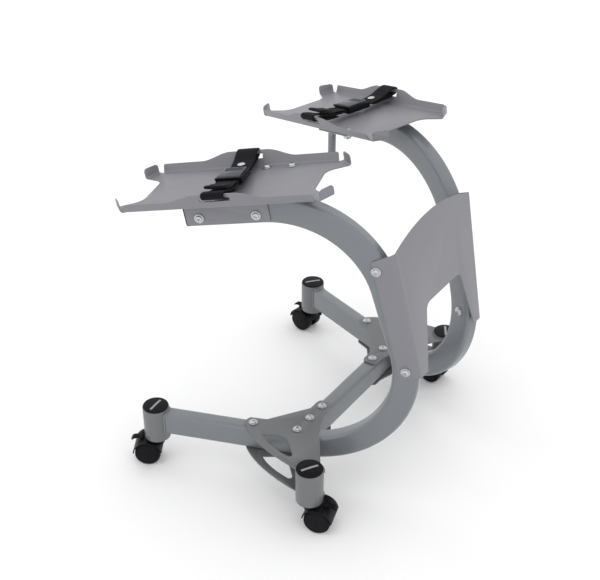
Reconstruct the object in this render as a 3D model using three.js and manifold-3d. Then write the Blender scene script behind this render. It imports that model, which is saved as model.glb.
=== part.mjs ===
// Rolling stand that holds a pair of adjustable dumbbells, one on each tray.
// Millimetres. +Z is up, +Y is the rear and +X is the right-hand tray; the user stands in front, at -Y.
// Everything that comes in a left and a right hand is made for the right and mirrored across X = 0.
import * as THREE from 'three';
import { mergeVertices } from 'three/addons/utils/BufferGeometryUtils.js';
import Module from 'manifold-3d';

const wasm = await Module();
wasm.setup();

// ---------------------------------------------------------------- driving dimensions
const GAP = 0.3; // space left between pieces that touch on the real stand

// plan layout
const TOE_DEG = 20; // each side tube runs rearward and inward at this angle
const FRONT_SOCKET = { x: 275, y: -172 };
const REAR_SOCKET = { x: 262, y: 172 };
const CROSS_TUBE_Y = 91;

// bent side tubes, rectangular section
const TUBE = { width: 30, height: 48, corner: 8, wall: 2 };
const TUBE_AXIS_Z = 97;
const LOWER_RUN = 290;
const LOWER_BEND_R = 185;
const BACK_LEAN_DEG = 17;
const BACK_RUN = 120;
const UPPER_BEND_R = 187.5;
const TRAY_TILT_DEG = 10.4;
const UPPER_RUN = 130;
const PLUG = { flange: 3, stub: 12 };

// round sockets for the casters
const SOCKET = { outer: 25.4, inner: 22.9, bottom: 58, top: 127.5, floorLow: 60, floorHigh: 64 };
const CAP = { radius: 24.4, top: 130, stubRadius: 22.4, stubDepth: 9 };

// gusset plates above and below the tubes
const GUSSET_T = 3;
const BOLT = { shank: 4, hole: 4.4, washer: 8.4, washerT: 1.6, head: 6.2, headT: 3.8 };
const TAIL = 8; // length of bolt past the last sheet, for its nut
const SIDE_TUBE_BOLTS_S = [194, 279]; // along the side tube, from the front socket
const CROSS_TUBE_BOLTS_X = [138, 95];

// rear panel, bent from sheet
const PANEL = { sheet: 2, notchHalfTop: 63, notchHalfBottom: 91, notchHeight: 118, arch: 25 };
const PANEL_BEND_TOP = { s: 444, z: 529 };
const PANEL_BEND_BOTTOM = { s: 502, z: 292 };
const PANEL_FLANGE_TOP = { s: 407, z: 511 };
const PANEL_FLANGE_BOTTOM = { s: 465, z: 284 };
const PANEL_BOLTS = [{ s: 416, z: 494 }, { s: 475, z: 302 }];

// trays
const SHEET = 2;
const PAN = { halfLength: 187.5, halfWidth: 88, offsetX: -33, offsetY: -52.5, floorZ: 28.3, rollDeg: 3 };
const RECESS = { depth: 38, halfMouth: 62, halfRoot: 44 };
const LIP = { length: 30, height: 17, skewDeg: 34, corner: 6 };
const FLANGE = { leanDeg: 22, low: 15, high: 28, relief: 9, rise: 88, flat: 34 };
const SLOT = { halfWidth: 26, low: 13, high: 21 };
const BRACKET = { front: -130, rear: 17, cheekT: 2.5, webT: 1.5, webZ: 24.7, drop: 17 };
const BRACKET_BOLTS = [{ y: -106, z: -6 }, { y: -6, z: -6 }];
const POST = { x: -76, y: 36, radius: 7.5, length: 75, footFront: 8, footRear: 90, footHalf: 11, footT: 3 };

// straps and buckles, in the tray's own frame; both straps run the same way, so the left one isn't a mirror image
const STRAP = { width: 40, thickness: 2.4 };
const BUCKLE = { low: -29, high: 21, halfWidth: 23, cheekT: 2.4, baseZ: 9.6, baseT: 1.6, cheekTop: 22.2 };
const LEVER = { halfWidth: 19.8, pivotX: 15, pivotZ: 19.6, pivotR: 4, pinR: 2, tip: -25, thickness: 2.6 };
const RIVET = { x: -52, shank: 2.4, head: 7, low: 8.4, high: 17.8 };

// casters
const WHEEL = { radius: 25, width: 18, bore: 4.3, boreDepth: 15, insideY: 6.5 };
const CASTER = { trail: 20, hood: 28.7, cavity: 26.3, halfWidth: 25, webHalf: 6.2, axle: 4, stem: 5.5 };
const STEM_TOP = 104;
const BRAKE = { pivotX: 31, pivotZ: 54.6, halfWidth: 6, earIn: 6.6, earOut: 8.8, ear: 3.2, pin: 1.5 };
const CASTER_HEADING_DEG = { front_right: -58, rear_right: 106, front_left: -98, rear_left: -95 };

// ---------------------------------------------------------------- finishes
const paint = (color, roughness, metalness) => new THREE.MeshStandardMaterial({ color, roughness, metalness });
const FINISH = {
  tube: paint(0x98a0a8, 0.35, 0.3),
  plate: paint(0x7d807f, 0.45, 0.3),
  sheet: paint(0x8f8d96, 0.5, 0.25),
  zinc: paint(0xc9ccd0, 0.25, 0.9),
  plastic: paint(0x17171a, 0.5, 0.0),
  webbing: paint(0x121214, 0.9, 0.0),
  lever: paint(0x4a4c56, 0.4, 0.1),
};

// ---------------------------------------------------------------- solids
const rad = THREE.MathUtils.degToRad;

function toSolid(geometry) {
  const bare = geometry.clone();
  bare.deleteAttribute('normal');
  bare.deleteAttribute('uv');
  const merged = mergeVertices(bare, 1e-4);
  const corners = merged.index.array;
  const kept = [];
  for (let i = 0; i < corners.length; i += 3) {
    const [a, b, c] = [corners[i], corners[i + 1], corners[i + 2]];
    if (a !== b && b !== c && c !== a) kept.push(a, b, c);
  }
  const triVerts = Uint32Array.from(kept);
  const vertProperties = Float32Array.from(merged.attributes.position.array);
  if (signedVolume(vertProperties, triVerts) < 0) triVerts.reverse();
  return new wasm.Manifold(new wasm.Mesh({ numProp: 3, vertProperties, triVerts }));
}

function signedVolume(points, corners) {
  const [a, b, c] = [new THREE.Vector3(), new THREE.Vector3(), new THREE.Vector3()];
  let total = 0;
  for (let i = 0; i < corners.length; i += 3) {
    a.fromArray(points, 3 * corners[i]);
    b.fromArray(points, 3 * corners[i + 1]);
    c.fromArray(points, 3 * corners[i + 2]);
    total += a.dot(b.cross(c)) / 6;
  }
  return total;
}

function toGeometry(solid) {
  const mesh = solid.getMesh();
  const geometry = new THREE.BufferGeometry();
  geometry.setAttribute('position', new THREE.Float32BufferAttribute(mesh.vertProperties, 3));
  geometry.setIndex(new THREE.Uint32BufferAttribute(mesh.triVerts, 1));
  geometry.computeVertexNormals();
  return geometry;
}

const join = (first, ...rest) => rest.reduce((whole, piece) => whole.add(piece), first);
const cut = (first, ...rest) => rest.reduce((whole, piece) => whole.subtract(piece), first);

// A solid moved by a Matrix4.
const moved = (solid, matrix) => toSolid(toGeometry(solid).applyMatrix4(matrix));

// A flat shape in X and Y, thickened from z = 0 up.
function slab(shape, thickness, curveSegments = 6) {
  return toSolid(new THREE.ExtrudeGeometry(shape, { depth: thickness, bevelEnabled: false, curveSegments }));
}

// A profile of [radius, height] pairs turned about Z.
function turned(profile, segments = 24) {
  const points = profile.map(([radius, height]) => new THREE.Vector2(radius, height));
  return toSolid(new THREE.LatheGeometry(points, segments).rotateX(Math.PI / 2));
}

// A round bar between two points.
function rod(radius, from, to, segments = 16) {
  const [start, end] = [new THREE.Vector3(...from), new THREE.Vector3(...to)];
  const along = end.clone().sub(start);
  const bar = new THREE.CylinderGeometry(radius, radius, along.length(), segments);
  const turn = new THREE.Quaternion().setFromUnitVectors(new THREE.Vector3(0, 1, 0), along.normalize());
  bar.applyQuaternion(turn);
  bar.translate(...start.add(end).multiplyScalar(0.5).toArray());
  return toSolid(bar);
}

function box(low, high) {
  const size = high.map((value, i) => value - low[i]);
  const block = new THREE.BoxGeometry(...size);
  block.translate(...low.map((value, i) => value + size[i] / 2));
  return toSolid(block);
}

function polygon(points) {
  return new THREE.Shape(points.map(([x, y]) => new THREE.Vector2(x, y)));
}

function roundedRectangle(width, height, corner) {
  const [x, y] = [width / 2 - corner, height / 2 - corner];
  const shape = new THREE.Shape();
  shape.absarc(x, y, corner, 0, Math.PI / 2);
  shape.absarc(-x, y, corner, Math.PI / 2, Math.PI);
  shape.absarc(-x, -y, corner, Math.PI, 1.5 * Math.PI);
  shape.absarc(x, -y, corner, 1.5 * Math.PI, 2 * Math.PI);
  return shape;
}

// Hollow section of the rectangular tube; x and y are its outer sizes.
function tubeSection(x, y) {
  const { corner, wall } = TUBE;
  const section = roundedRectangle(x, y, corner);
  section.holes.push(roundedRectangle(x - 2 * wall, y - 2 * wall, corner - wall));
  return section;
}

// ---------------------------------------------------------------- frames
function frame(xAxis, yAxis, origin) {
  const x = new THREE.Vector3(...xAxis).normalize();
  const y = new THREE.Vector3(...yAxis).normalize();
  const z = x.clone().cross(y);
  return new THREE.Matrix4().makeBasis(x, y, z).setPosition(...origin);
}

// Right side tube: X points outward from its plane, Y (called s) runs rearward from the front socket.
const toe = rad(TOE_DEG);
const SIDE = frame(
  [Math.cos(toe), Math.sin(toe), 0],
  [-Math.sin(toe), Math.cos(toe), 0],
  [FRONT_SOCKET.x, FRONT_SOCKET.y, 0],
);

// The tube's centreline as stations of s, z and heading, bent in the plane of the side frame.
function tubeStations() {
  let [s, z, heading] = [12, TUBE_AXIS_Z, 0];
  const stations = [{ s, z, heading }];
  const run = (length) => {
    s += length * Math.cos(heading);
    z += length * Math.sin(heading);
    stations.push({ s, z, heading });
  };
  const bend = (radius, endHeading, steps) => {
    const [from, centreS, centreZ] = [heading, s - radius * Math.sin(heading), z + radius * Math.cos(heading)];
    for (let i = 1; i <= steps; i += 1) {
      heading = from + ((endHeading - from) * i) / steps;
      s = centreS + radius * Math.sin(heading);
      z = centreZ - radius * Math.cos(heading);
      stations.push({ s, z, heading });
    }
  };
  run(LOWER_RUN - s);
  bend(LOWER_BEND_R, rad(90 + BACK_LEAN_DEG), 10);
  run(BACK_RUN);
  bend(UPPER_BEND_R, rad(180 + TRAY_TILT_DEG), 8);
  const armStart = stations.at(-1);
  run(UPPER_RUN);
  return { stations, armStart };
}

const { stations: TUBE_STATIONS, armStart: ARM_START } = tubeStations();

// Extrusion path that lands one step on each station.
class BentCentreline extends THREE.Curve {
  station(t) {
    return TUBE_STATIONS[Math.round(t * (TUBE_STATIONS.length - 1))];
  }

  getPointAt(t) {
    const { s, z } = this.station(t);
    return new THREE.Vector3(0, s, z);
  }

  getTangentAt(t) {
    const { heading } = this.station(t);
    return new THREE.Vector3(0, Math.cos(heading), Math.sin(heading));
  }
}

// A section drawn with its X upright, carried along the bent tube.
function alongTube(section) {
  return toSolid(new THREE.ExtrudeGeometry(section, {
    steps: TUBE_STATIONS.length - 1,
    curveSegments: 1,
    bevelEnabled: false,
    extrudePath: new BentCentreline(),
  }));
}

// Arm frame, inside the side frame: X outward, Y rearward and up along the arm, Z square to the arm.
const tilt = rad(TRAY_TILT_DEG);
const ARM = SIDE.clone().multiply(frame(
  [1, 0, 0],
  [0, Math.cos(tilt), Math.sin(tilt)],
  [0, ARM_START.s, ARM_START.z],
));

// Pan frame: the middle of the tray's floor, rolled so that the outer edge is the higher one.
const roll = rad(PAN.rollDeg);
const PAN_FRAME = ARM.clone().multiply(frame(
  [Math.cos(roll), 0, Math.sin(roll)],
  [0, 1, 0],
  [PAN.offsetX, PAN.offsetY, PAN.floorZ - Math.abs(PAN.offsetX) * Math.sin(roll)],
));

// A point of one frame, in the stand's own frame.
const pointIn = (matrix, x, y, z) => new THREE.Vector3(x, y, z).applyMatrix4(matrix);

// ---------------------------------------------------------------- assembly helpers
const stand = new THREE.Group();

function add(name, solid, material) {
  const mesh = new THREE.Mesh(toGeometry(solid), material);
  mesh.name = name;
  stand.add(mesh);
  return mesh;
}

function addPair(name, solid, material) {
  add(`${name}_right`, solid, material);
  add(`${name}_left`, moved(solid, new THREE.Matrix4().makeScale(-1, 1, 1)), material);
}

// A solid drawn in the tray's frame, placed the same way round on both trays.
function addOnTrays(name, solid, material) {
  const mirror = new THREE.Matrix4().makeScale(-1, 1, 1);
  add(`${name}_right`, moved(solid, PAN_FRAME), material);
  add(`${name}_left`, moved(solid, mirror.clone().multiply(PAN_FRAME).multiply(mirror)), material);
}

// ---------------------------------------------------------------- bolts
// The washer lies on z = 0, the head stands up and the shank goes down.
function bolt(length) {
  return turned([
    [0, -length],
    [BOLT.shank, -length],
    [BOLT.shank, 0],
    [BOLT.washer, 0],
    [BOLT.washer, BOLT.washerT],
    [BOLT.head, BOLT.washerT],
    [BOLT.head * 0.86, BOLT.washerT + BOLT.headT * 0.75],
    [0, BOLT.washerT + BOLT.headT],
  ], 10);
}

const plateTop = TUBE_AXIS_Z + TUBE.height / 2 + GAP + GUSSET_T;
const plateBottom = TUBE_AXIS_Z - TUBE.height / 2 - GAP - GUSSET_T;

// Where the gusset bolts stand, in plan, on the right side.
const GUSSET_BOLTS = [
  ...SIDE_TUBE_BOLTS_S.map((s) => pointIn(SIDE, 0, s, 0)),
  ...CROSS_TUBE_BOLTS_X.map((x) => new THREE.Vector3(x, CROSS_TUBE_Y, 0)),
];
const gussetBoltHoles = () => GUSSET_BOLTS.map(
  ({ x, y }) => rod(BOLT.hole, [x, y, plateBottom - 5], [x, y, plateTop + 5], 10),
);

// A hole or a bolt straight across the side tube.
const crossHole = (y, z) => rod(BOLT.hole, [-40, y, z], [40, y, z], 10);
const outwardFrame = (x, y, z) => frame([0, 0, -1], [0, 1, 0], [x, y, z]);

// ---------------------------------------------------------------- side tubes and cross tube
function sideTube() {
  const armToSide = SIDE.clone().invert().multiply(ARM);
  const armHoles = BRACKET_BOLTS.map(({ y, z }) => moved(crossHole(y, z), armToSide));
  const panelHoles = PANEL_BOLTS.map(({ s, z }) => crossHole(s, z));
  const cope = rod(SOCKET.outer + 2 * GAP, [0, 0, 20], [0, 0, 200], 24);
  const tube = cut(alongTube(tubeSection(TUBE.height, TUBE.width)), cope, ...armHoles, ...panelHoles);
  return cut(moved(tube, SIDE), ...gussetBoltHoles());
}

function crossTube() {
  const half = FRONT_SOCKET.x;
  const toX = frame([0, 1, 0], [0, 0, 1], [-half, CROSS_TUBE_Y, TUBE_AXIS_Z]);
  const tube = moved(slab(tubeSection(TUBE.width, TUBE.height), 2 * half, 1), toX);
  const beside = moved(box([-TUBE.width / 2 - GAP, 60, 0], [200, 500, 200]), SIDE);
  const otherSide = moved(beside, new THREE.Matrix4().makeScale(-1, 1, 1));
  const holes = CROSS_TUBE_BOLTS_X.flatMap((x) => [x, -x]).map(
    (x) => rod(BOLT.hole, [x, CROSS_TUBE_Y, 0], [x, CROSS_TUBE_Y, 200], 10),
  );
  return cut(tube, beside, otherSide, ...holes);
}

function tubeEndPlug() {
  const { width, height, corner, wall } = TUBE;
  const fit = 2 * (wall + GAP);
  const cover = slab(roundedRectangle(width, height, corner), PLUG.flange, 1);
  const stub = slab(roundedRectangle(width - fit, height - fit, corner - wall - GAP), PLUG.stub + 1, 1);
  const inward = new THREE.Matrix4().makeTranslation(0, 0, -PLUG.stub);
  const frontEnd = frame([1, 0, 0], [0, 0, 1], [0, -UPPER_RUN - GAP, 0]);
  return moved(join(cover, moved(stub, inward)), ARM.clone().multiply(frontEnd));
}

// ---------------------------------------------------------------- sockets and caps
function socket() {
  const { outer, inner, bottom, top, floorLow, floorHigh } = SOCKET;
  const hole = CASTER.stem + 0.4;
  return turned([
    [outer, bottom],
    [outer, top],
    [inner, top],
    [inner, floorHigh],
    [hole, floorHigh],
    [hole, floorLow],
    [inner, floorLow],
    [inner, bottom],
    [outer, bottom],
  ], 24);
}

function cap() {
  const under = SOCKET.top + GAP;
  return turned([
    [0, under - CAP.stubDepth],
    [CAP.stubRadius, under - CAP.stubDepth],
    [CAP.stubRadius, under],
    [CAP.radius, under],
    [CAP.radius - 0.8, CAP.top],
    [0, CAP.top],
  ], 20);
}

// ---------------------------------------------------------------- gusset plates
// Plan outline on the right side: front tip on the side tube, an outer edge that bows outward to the
// rear socket, a straight rear edge and a straight front edge along the cross tube.
function gussetOutline() {
  const shape = new THREE.Shape();
  shape.moveTo(198, -3);
  shape.quadraticCurveTo(209, -9, 219, -2);
  shape.bezierCurveTo(238, 20, 262, 62, 271, 148);
  shape.lineTo(REAR_SOCKET.x, REAR_SOCKET.y);
  shape.lineTo(236, 178);
  shape.lineTo(184, 143);
  shape.lineTo(147, 120);
  shape.lineTo(104, 107);
  shape.lineTo(88, 107);
  shape.quadraticCurveTo(78, 104, 79, 91);
  shape.lineTo(80, 80);
  shape.quadraticCurveTo(84, 75.5, 92, 75.5);
  shape.lineTo(112, 75.5);
  shape.lineTo(186, 26);
  shape.closePath();
  const window = new THREE.Path();
  window.moveTo(228, 44);
  window.lineTo(211, 69);
  window.quadraticCurveTo(208, 84, 218, 97);
  window.lineTo(243, 122);
  window.quadraticCurveTo(252, 126, 252, 116);
  window.bezierCurveTo(249, 90, 242, 62, 228, 44);
  shape.holes.push(window);
  return shape;
}

function gussetPlate(bottom) {
  const plate = moved(slab(gussetOutline(), GUSSET_T, 10), new THREE.Matrix4().makeTranslation(0, 0, bottom));
  const { x, y } = REAR_SOCKET;
  const cope = rod(SOCKET.outer + 2 * GAP, [x, y, 0], [x, y, 200], 24);
  return cut(plate, cope, ...gussetBoltHoles());
}

// The side tube rises through the rear edge of the top plate, which is cut away round it.
function gussetTopPlate() {
  const { width, height, corner } = TUBE;
  const envelope = alongTube(roundedRectangle(height + 1.8 * GAP, width + 2 * GAP, corner));
  return cut(gussetPlate(plateTop - GUSSET_T), moved(envelope, SIDE));
}

// ---------------------------------------------------------------- rear panel
function rearPanel() {
  const face = TUBE.width / 2 + GAP + PANEL.sheet;
  const top = pointIn(SIDE, face, PANEL_BEND_TOP.s, PANEL_BEND_TOP.z);
  const bottom = pointIn(SIDE, face, PANEL_BEND_BOTTOM.s, PANEL_BEND_BOTTOM.z);
  const height = Math.hypot(top.y - bottom.y, top.z - bottom.z);
  const archRadius = (top.x ** 2 + PANEL.arch ** 2) / (2 * PANEL.arch);
  const archHalf = Math.asin(top.x / archRadius);
  const archCentre = height + PANEL.arch - archRadius;
  const { notchHalfTop, notchHalfBottom, notchHeight } = PANEL;
  const shape = new THREE.Shape();
  shape.moveTo(notchHalfBottom, 0);
  shape.lineTo(bottom.x, 0);
  shape.lineTo(top.x, height);
  shape.absarc(0, archCentre, archRadius, Math.PI / 2 - archHalf, Math.PI / 2 + archHalf);
  shape.lineTo(-bottom.x, 0);
  shape.lineTo(-notchHalfBottom, 0);
  shape.lineTo(-notchHalfTop - 3, notchHeight - 10);
  shape.quadraticCurveTo(-notchHalfTop, notchHeight, -notchHalfTop + 10, notchHeight);
  shape.lineTo(notchHalfTop - 10, notchHeight);
  shape.quadraticCurveTo(notchHalfTop, notchHeight, notchHalfTop + 3, notchHeight - 10);
  shape.closePath();
  const faceFrame = frame([1, 0, 0], [0, top.y - bottom.y, top.z - bottom.z], [0, bottom.y, bottom.z]);
  const sheet = moved(slab(shape, PANEL.sheet, 6), faceFrame);

  const strip = slab(polygon([
    [PANEL_BEND_TOP.s, PANEL_BEND_TOP.z],
    [PANEL_FLANGE_TOP.s, PANEL_FLANGE_TOP.z],
    [PANEL_FLANGE_BOTTOM.s, PANEL_FLANGE_BOTTOM.z],
    [PANEL_BEND_BOTTOM.s, PANEL_BEND_BOTTOM.z],
  ]), PANEL.sheet);
  const standing = frame([0, 1, 0], [0, 0, 1], [face - PANEL.sheet, 0, 0]);
  const holes = PANEL_BOLTS.map(({ s, z }) => crossHole(s, z));
  const flange = moved(cut(moved(strip, standing), ...holes), SIDE);
  const inward = pointIn(SIDE, face - 1.2, 0, 0).sub(pointIn(SIDE, face, 0, 0)).add(new THREE.Vector3(0, -0.9, 0));
  const fold = rod(1.1, top.clone().add(inward).toArray(), bottom.clone().add(inward).toArray(), 10);
  const half = join(flange, fold);
  return join(sheet, half, moved(half, new THREE.Matrix4().makeScale(-1, 1, 1)));
}

// ---------------------------------------------------------------- trays
function trayFloorOutline() {
  const { halfLength, halfWidth } = PAN;
  const across = LIP.length * Math.cos(rad(LIP.skewDeg));
  const back = LIP.length * Math.sin(rad(LIP.skewDeg));
  const quarter = [
    [halfWidth, halfLength - back],
    [halfWidth - across, halfLength],
    [RECESS.halfMouth, halfLength - 4],
    [RECESS.halfRoot, halfLength - RECESS.depth],
  ];
  const rear = [...quarter, ...quarter.map(([x, y]) => [-x, y]).reverse()];
  return polygon([...rear, ...rear.map(([x, y]) => [-x, -y])]);
}

// Side flange, drawn flat with its foot on y = 0 and its raised, slotted middle at x = 0.
function trayFlangeOutline() {
  const { low, high, relief, rise, flat } = FLANGE;
  const end = PAN.halfLength - LIP.length * Math.sin(rad(LIP.skewDeg)) - relief;
  const shape = new THREE.Shape();
  shape.moveTo(-end, -SHEET);
  shape.lineTo(end, -SHEET);
  shape.lineTo(end, low - 4);
  shape.quadraticCurveTo(end, low, end - 4, low);
  shape.lineTo(rise, low);
  shape.bezierCurveTo(rise - 26, low, flat + 26, high, flat, high);
  shape.lineTo(-flat, high);
  shape.bezierCurveTo(-flat - 26, high, -rise + 26, low, -rise, low);
  shape.lineTo(-end + 4, low);
  shape.quadraticCurveTo(-end, low, -end, low - 4);
  shape.closePath();
  const slot = roundedRectangle(2 * SLOT.halfWidth, SLOT.high - SLOT.low, 3.5).getPoints(2);
  slot.forEach((point) => point.add(new THREE.Vector2(0, (SLOT.high + SLOT.low) / 2)));
  shape.holes.push(new THREE.Path(slot));
  return shape;
}

// Upturned end of one arm, drawn flat from its inner end at x = 0 to its outer end.
function trayLipOutline() {
  const { length, height, corner } = LIP;
  const shape = new THREE.Shape();
  shape.moveTo(0, -SHEET);
  shape.lineTo(length, -SHEET);
  shape.lineTo(length, height - corner);
  shape.quadraticCurveTo(length, height, length - corner, height);
  shape.lineTo(corner + 2, height);
  shape.quadraticCurveTo(0, height, 0, height - corner - 2);
  shape.closePath();
  return shape;
}

function tray() {
  const floor = moved(slab(trayFloorOutline(), SHEET), new THREE.Matrix4().makeTranslation(0, 0, -SHEET));
  const lean = rad(FLANGE.leanDeg);
  const flange = moved(
    slab(trayFlangeOutline(), SHEET, 5),
    frame([0, 1, 0], [Math.sin(lean), 0, Math.cos(lean)], [PAN.halfWidth, 0, 0]),
  );
  const skew = rad(LIP.skewDeg);
  const lip = moved(
    slab(trayLipOutline(), SHEET, 3),
    frame(
      [Math.cos(skew), -Math.sin(skew), 0],
      [0, 0, 1],
      [PAN.halfWidth - LIP.length * Math.cos(skew), PAN.halfLength, 0],
    ),
  );
  const lipInside = moved(lip, new THREE.Matrix4().makeTranslation(0, -0.4, 0));
  const flipX = new THREE.Matrix4().makeScale(-1, 1, 1);
  const flipY = new THREE.Matrix4().makeScale(1, -1, 1);
  const rearLips = join(lipInside, moved(lipInside, flipX));
  const pan = join(floor, flange, moved(flange, flipX), rearLips, moved(rearLips, flipY));
  return moved(pan, PAN_FRAME);
}

// Saddle over the arm of the side tube, under the tray.
function trayBracket() {
  const { front, rear, cheekT, webT, webZ, drop } = BRACKET;
  const inside = TUBE.width / 2 + GAP;
  const outside = inside + cheekT;
  const rise = outside * Math.sin(roll);
  const outerCheek = box([inside, front, -drop], [outside, rear, webZ + rise + 0.5]);
  const innerCheek = box([-outside, front, -drop], [-inside, rear, webZ - rise + 0.5]);
  const web = moved(
    box([-outside, front, webZ], [outside, rear, webZ + webT]),
    new THREE.Matrix4().makeRotationY(-roll),
  );
  const holes = BRACKET_BOLTS.map(({ y, z }) => crossHole(y, z));
  return moved(cut(join(outerCheek, innerCheek, web), ...holes), ARM);
}

// Short post that hangs straight down from a foot plate under the tray's inner edge.
function trayPost() {
  const { x, y, radius, length, footFront, footRear, footHalf, footT } = POST;
  const under = -SHEET - GAP;
  const foot = moved(box([x - footHalf, footFront, under - footT], [x + footHalf, footRear, under]), PAN_FRAME);
  const top = pointIn(PAN_FRAME, x, y, under - footT / 2);
  const post = turned([
    [0, -length],
    [radius - 2, -length],
    [radius, -length + 2],
    [radius, 0],
    [0, 0],
  ], 20);
  return join(foot, moved(post, new THREE.Matrix4().makeTranslation(top.x, top.y, top.z)));
}

// ---------------------------------------------------------------- straps and buckles
// Half of the strap's path across the tray, as [x, z] from the under layer's end, out through the
// slot, up over the flange and back to the middle.
const STRAP_HALF_PATH = [
  [42, 10.2],
  [58, 10.6],
  [72, 11.8],
  [84, 13.4],
  [92, 15.2],
  [98, 16.4],
  [102.4, 18.6],
  [104.2, 24.4],
  [101.6, 28.2],
  [95, 28],
  [84, 24.4],
  [72, 19.4],
  [58, 16],
  [44, 14.4],
  [28, 14.2],
];

// Outline of a band of even thickness along an open path.
function band(path, thickness) {
  const points = path.map(([x, z]) => new THREE.Vector2(x, z));
  const side = (sign) => points.map((point, i) => {
    const before = points[Math.max(i - 1, 0)];
    const after = points[Math.min(i + 1, points.length - 1)];
    const arriving = point.clone().sub(before).normalize();
    const leaving = after.clone().sub(point).normalize();
    const along = arriving.clone().add(leaving).normalize();
    const spread = Math.max(along.dot(i === 0 ? leaving : arriving), 0.7);
    return point.clone().add(new THREE.Vector2(-along.y, along.x).multiplyScalar((sign * thickness) / 2 / spread));
  });
  return new THREE.Shape([...side(1), ...side(-1).reverse()]);
}

// Shapes drawn in the tray's X and Z, thickened along its Y and centred on the strap.
const acrossTray = (shape, width) => moved(
  slab(shape, width),
  frame([1, 0, 0], [0, 0, 1], [0, width / 2, 0]),
);

function strap() {
  const outer = STRAP_HALF_PATH;
  const inner = STRAP_HALF_PATH.map(([x, z]) => [-x, z]).reverse();
  const webbing = acrossTray(band([...outer, ...inner], STRAP.thickness), STRAP.width);
  const rivetHole = rod(RIVET.shank + GAP, [RIVET.x, 0, 0], [RIVET.x, 0, 40], 12);
  return cut(webbing, rivetHole);
}

function strapRivet() {
  const { x, shank, head, low, high } = RIVET;
  const body = turned([
    [0, low - 1.4],
    [head - 1, low - 1.4],
    [head - 1, low],
    [shank, low],
    [shank, high],
    [head, high],
    [head - 2, high + 1.6],
    [0, high + 2],
  ], 12);
  return moved(body, new THREE.Matrix4().makeTranslation(x, 0, 0));
}

// Channel that the strap runs through, with the lever's pin across its cheeks.
function buckleBody() {
  const { low, high, halfWidth, cheekT, baseZ, baseT, cheekTop } = BUCKLE;
  const base = box([low, -halfWidth, baseZ], [high, halfWidth, baseZ + baseT]);
  const cheek = (from, to) => box([low, from, baseZ], [high, to, cheekTop]);
  const cheeks = join(cheek(-halfWidth, -halfWidth + cheekT), cheek(halfWidth - cheekT, halfWidth));
  const { pivotX, pivotZ, pinR } = LEVER;
  const pinHole = rod(pinR + GAP, [pivotX, -40, pivotZ], [pivotX, 40, pivotZ], 16);
  return cut(join(base, cheeks), pinHole);
}

function buckleLever() {
  const { halfWidth, pivotX, pivotZ, pivotR, pinR, tip, thickness } = LEVER;
  const plate = box([tip, -halfWidth, pivotZ + pivotR - thickness], [pivotX, halfWidth, pivotZ + pivotR]);
  const barrel = rod(pivotR, [pivotX, -halfWidth, pivotZ], [pivotX, halfWidth, pivotZ], 20);
  const reach = BUCKLE.halfWidth - 0.4;
  const pin = rod(pinR, [pivotX, -reach, pivotZ], [pivotX, reach, pivotZ], 16);
  return join(plate, barrel, pin);
}

// ---------------------------------------------------------------- casters
// Caster frame: the stem is Z, the wheels trail toward +X and the axle lies along Y.
const axleX = CASTER.trail;
const axleZ = WHEEL.radius;

function casterHood() {
  const { hood, cavity, halfWidth, webHalf, axle, stem } = CASTER;
  const outline = new THREE.Shape();
  outline.absarc(axleX, axleZ, hood, rad(8), rad(168));
  outline.absarc(axleX, axleZ, 9, rad(200), rad(340));
  outline.closePath();
  const upright = frame([1, 0, 0], [0, 0, 1], [0, halfWidth, 0]);
  const shell = moved(slab(outline, 2 * halfWidth, 5), upright);
  const well = (from, to) => rod(cavity, [axleX, from, axleZ], [axleX, to, axleZ], 24);
  const boss = rod(11, [0, 0, 40], [0, 0, SOCKET.bottom - GAP], 14);
  const ear = (from, to) => join(
    rod(BRAKE.ear, [BRAKE.pivotX, from, BRAKE.pivotZ], [BRAKE.pivotX, to, BRAKE.pivotZ], 8),
    box([BRAKE.pivotX - BRAKE.ear, from, 49], [BRAKE.pivotX + 2, to, BRAKE.pivotZ]),
  );
  const ears = join(ear(BRAKE.earIn, BRAKE.earOut), ear(-BRAKE.earOut, -BRAKE.earIn));
  const pinHole = rod(BRAKE.pin + GAP, [BRAKE.pivotX, -20, BRAKE.pivotZ], [BRAKE.pivotX, 20, BRAKE.pivotZ], 8);
  const body = cut(
    join(shell, boss, ears),
    well(webHalf, halfWidth + 5),
    well(-halfWidth - 5, -webHalf),
    pinHole,
  );
  const reach = WHEEL.insideY + WHEEL.boreDepth - 0.5;
  const axleBar = rod(axle, [axleX, -reach, axleZ], [axleX, reach, axleZ], 12);
  const stemBar = rod(stem, [0, 0, 50], [0, 0, STEM_TOP], 12);
  return join(body, axleBar, stemBar);
}

// One wheel, closed on its outer face, turned to lie along +Y from its inner face.
function casterWheel() {
  const { radius, width, bore, boreDepth, insideY } = WHEEL;
  const wheel = turned([
    [0, boreDepth],
    [bore, boreDepth],
    [bore, 0],
    [radius - 2, 0],
    [radius, 3],
    [radius, width - 5],
    [radius - 3, width - 1],
    [0, width],
  ], 24);
  const onAxle = frame([1, 0, 0], [0, 0, -1], [axleX, insideY, axleZ]);
  return moved(wheel, onAxle);
}

function brakeLever() {
  const { pivotX, pivotZ, halfWidth, earOut, pin } = BRAKE;
  const side = polygon([
    [pivotX - 2.4, pivotZ - 0.9],
    [pivotX + 16, pivotZ - 4.4],
    [pivotX + 20, pivotZ - 7.5],
    [pivotX + 22, pivotZ - 6],
    [pivotX + 18, pivotZ - 1.6],
    [pivotX, pivotZ + 2.2],
    [pivotX - 2.4, pivotZ + 1.6],
  ]);
  const pedal = moved(slab(side, 2 * halfWidth), frame([1, 0, 0], [0, 0, 1], [0, halfWidth, 0]));
  const pinBar = rod(pin, [pivotX, -earOut, pivotZ], [pivotX, earOut, pivotZ], 8);
  return join(pedal, pinBar);
}

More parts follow.
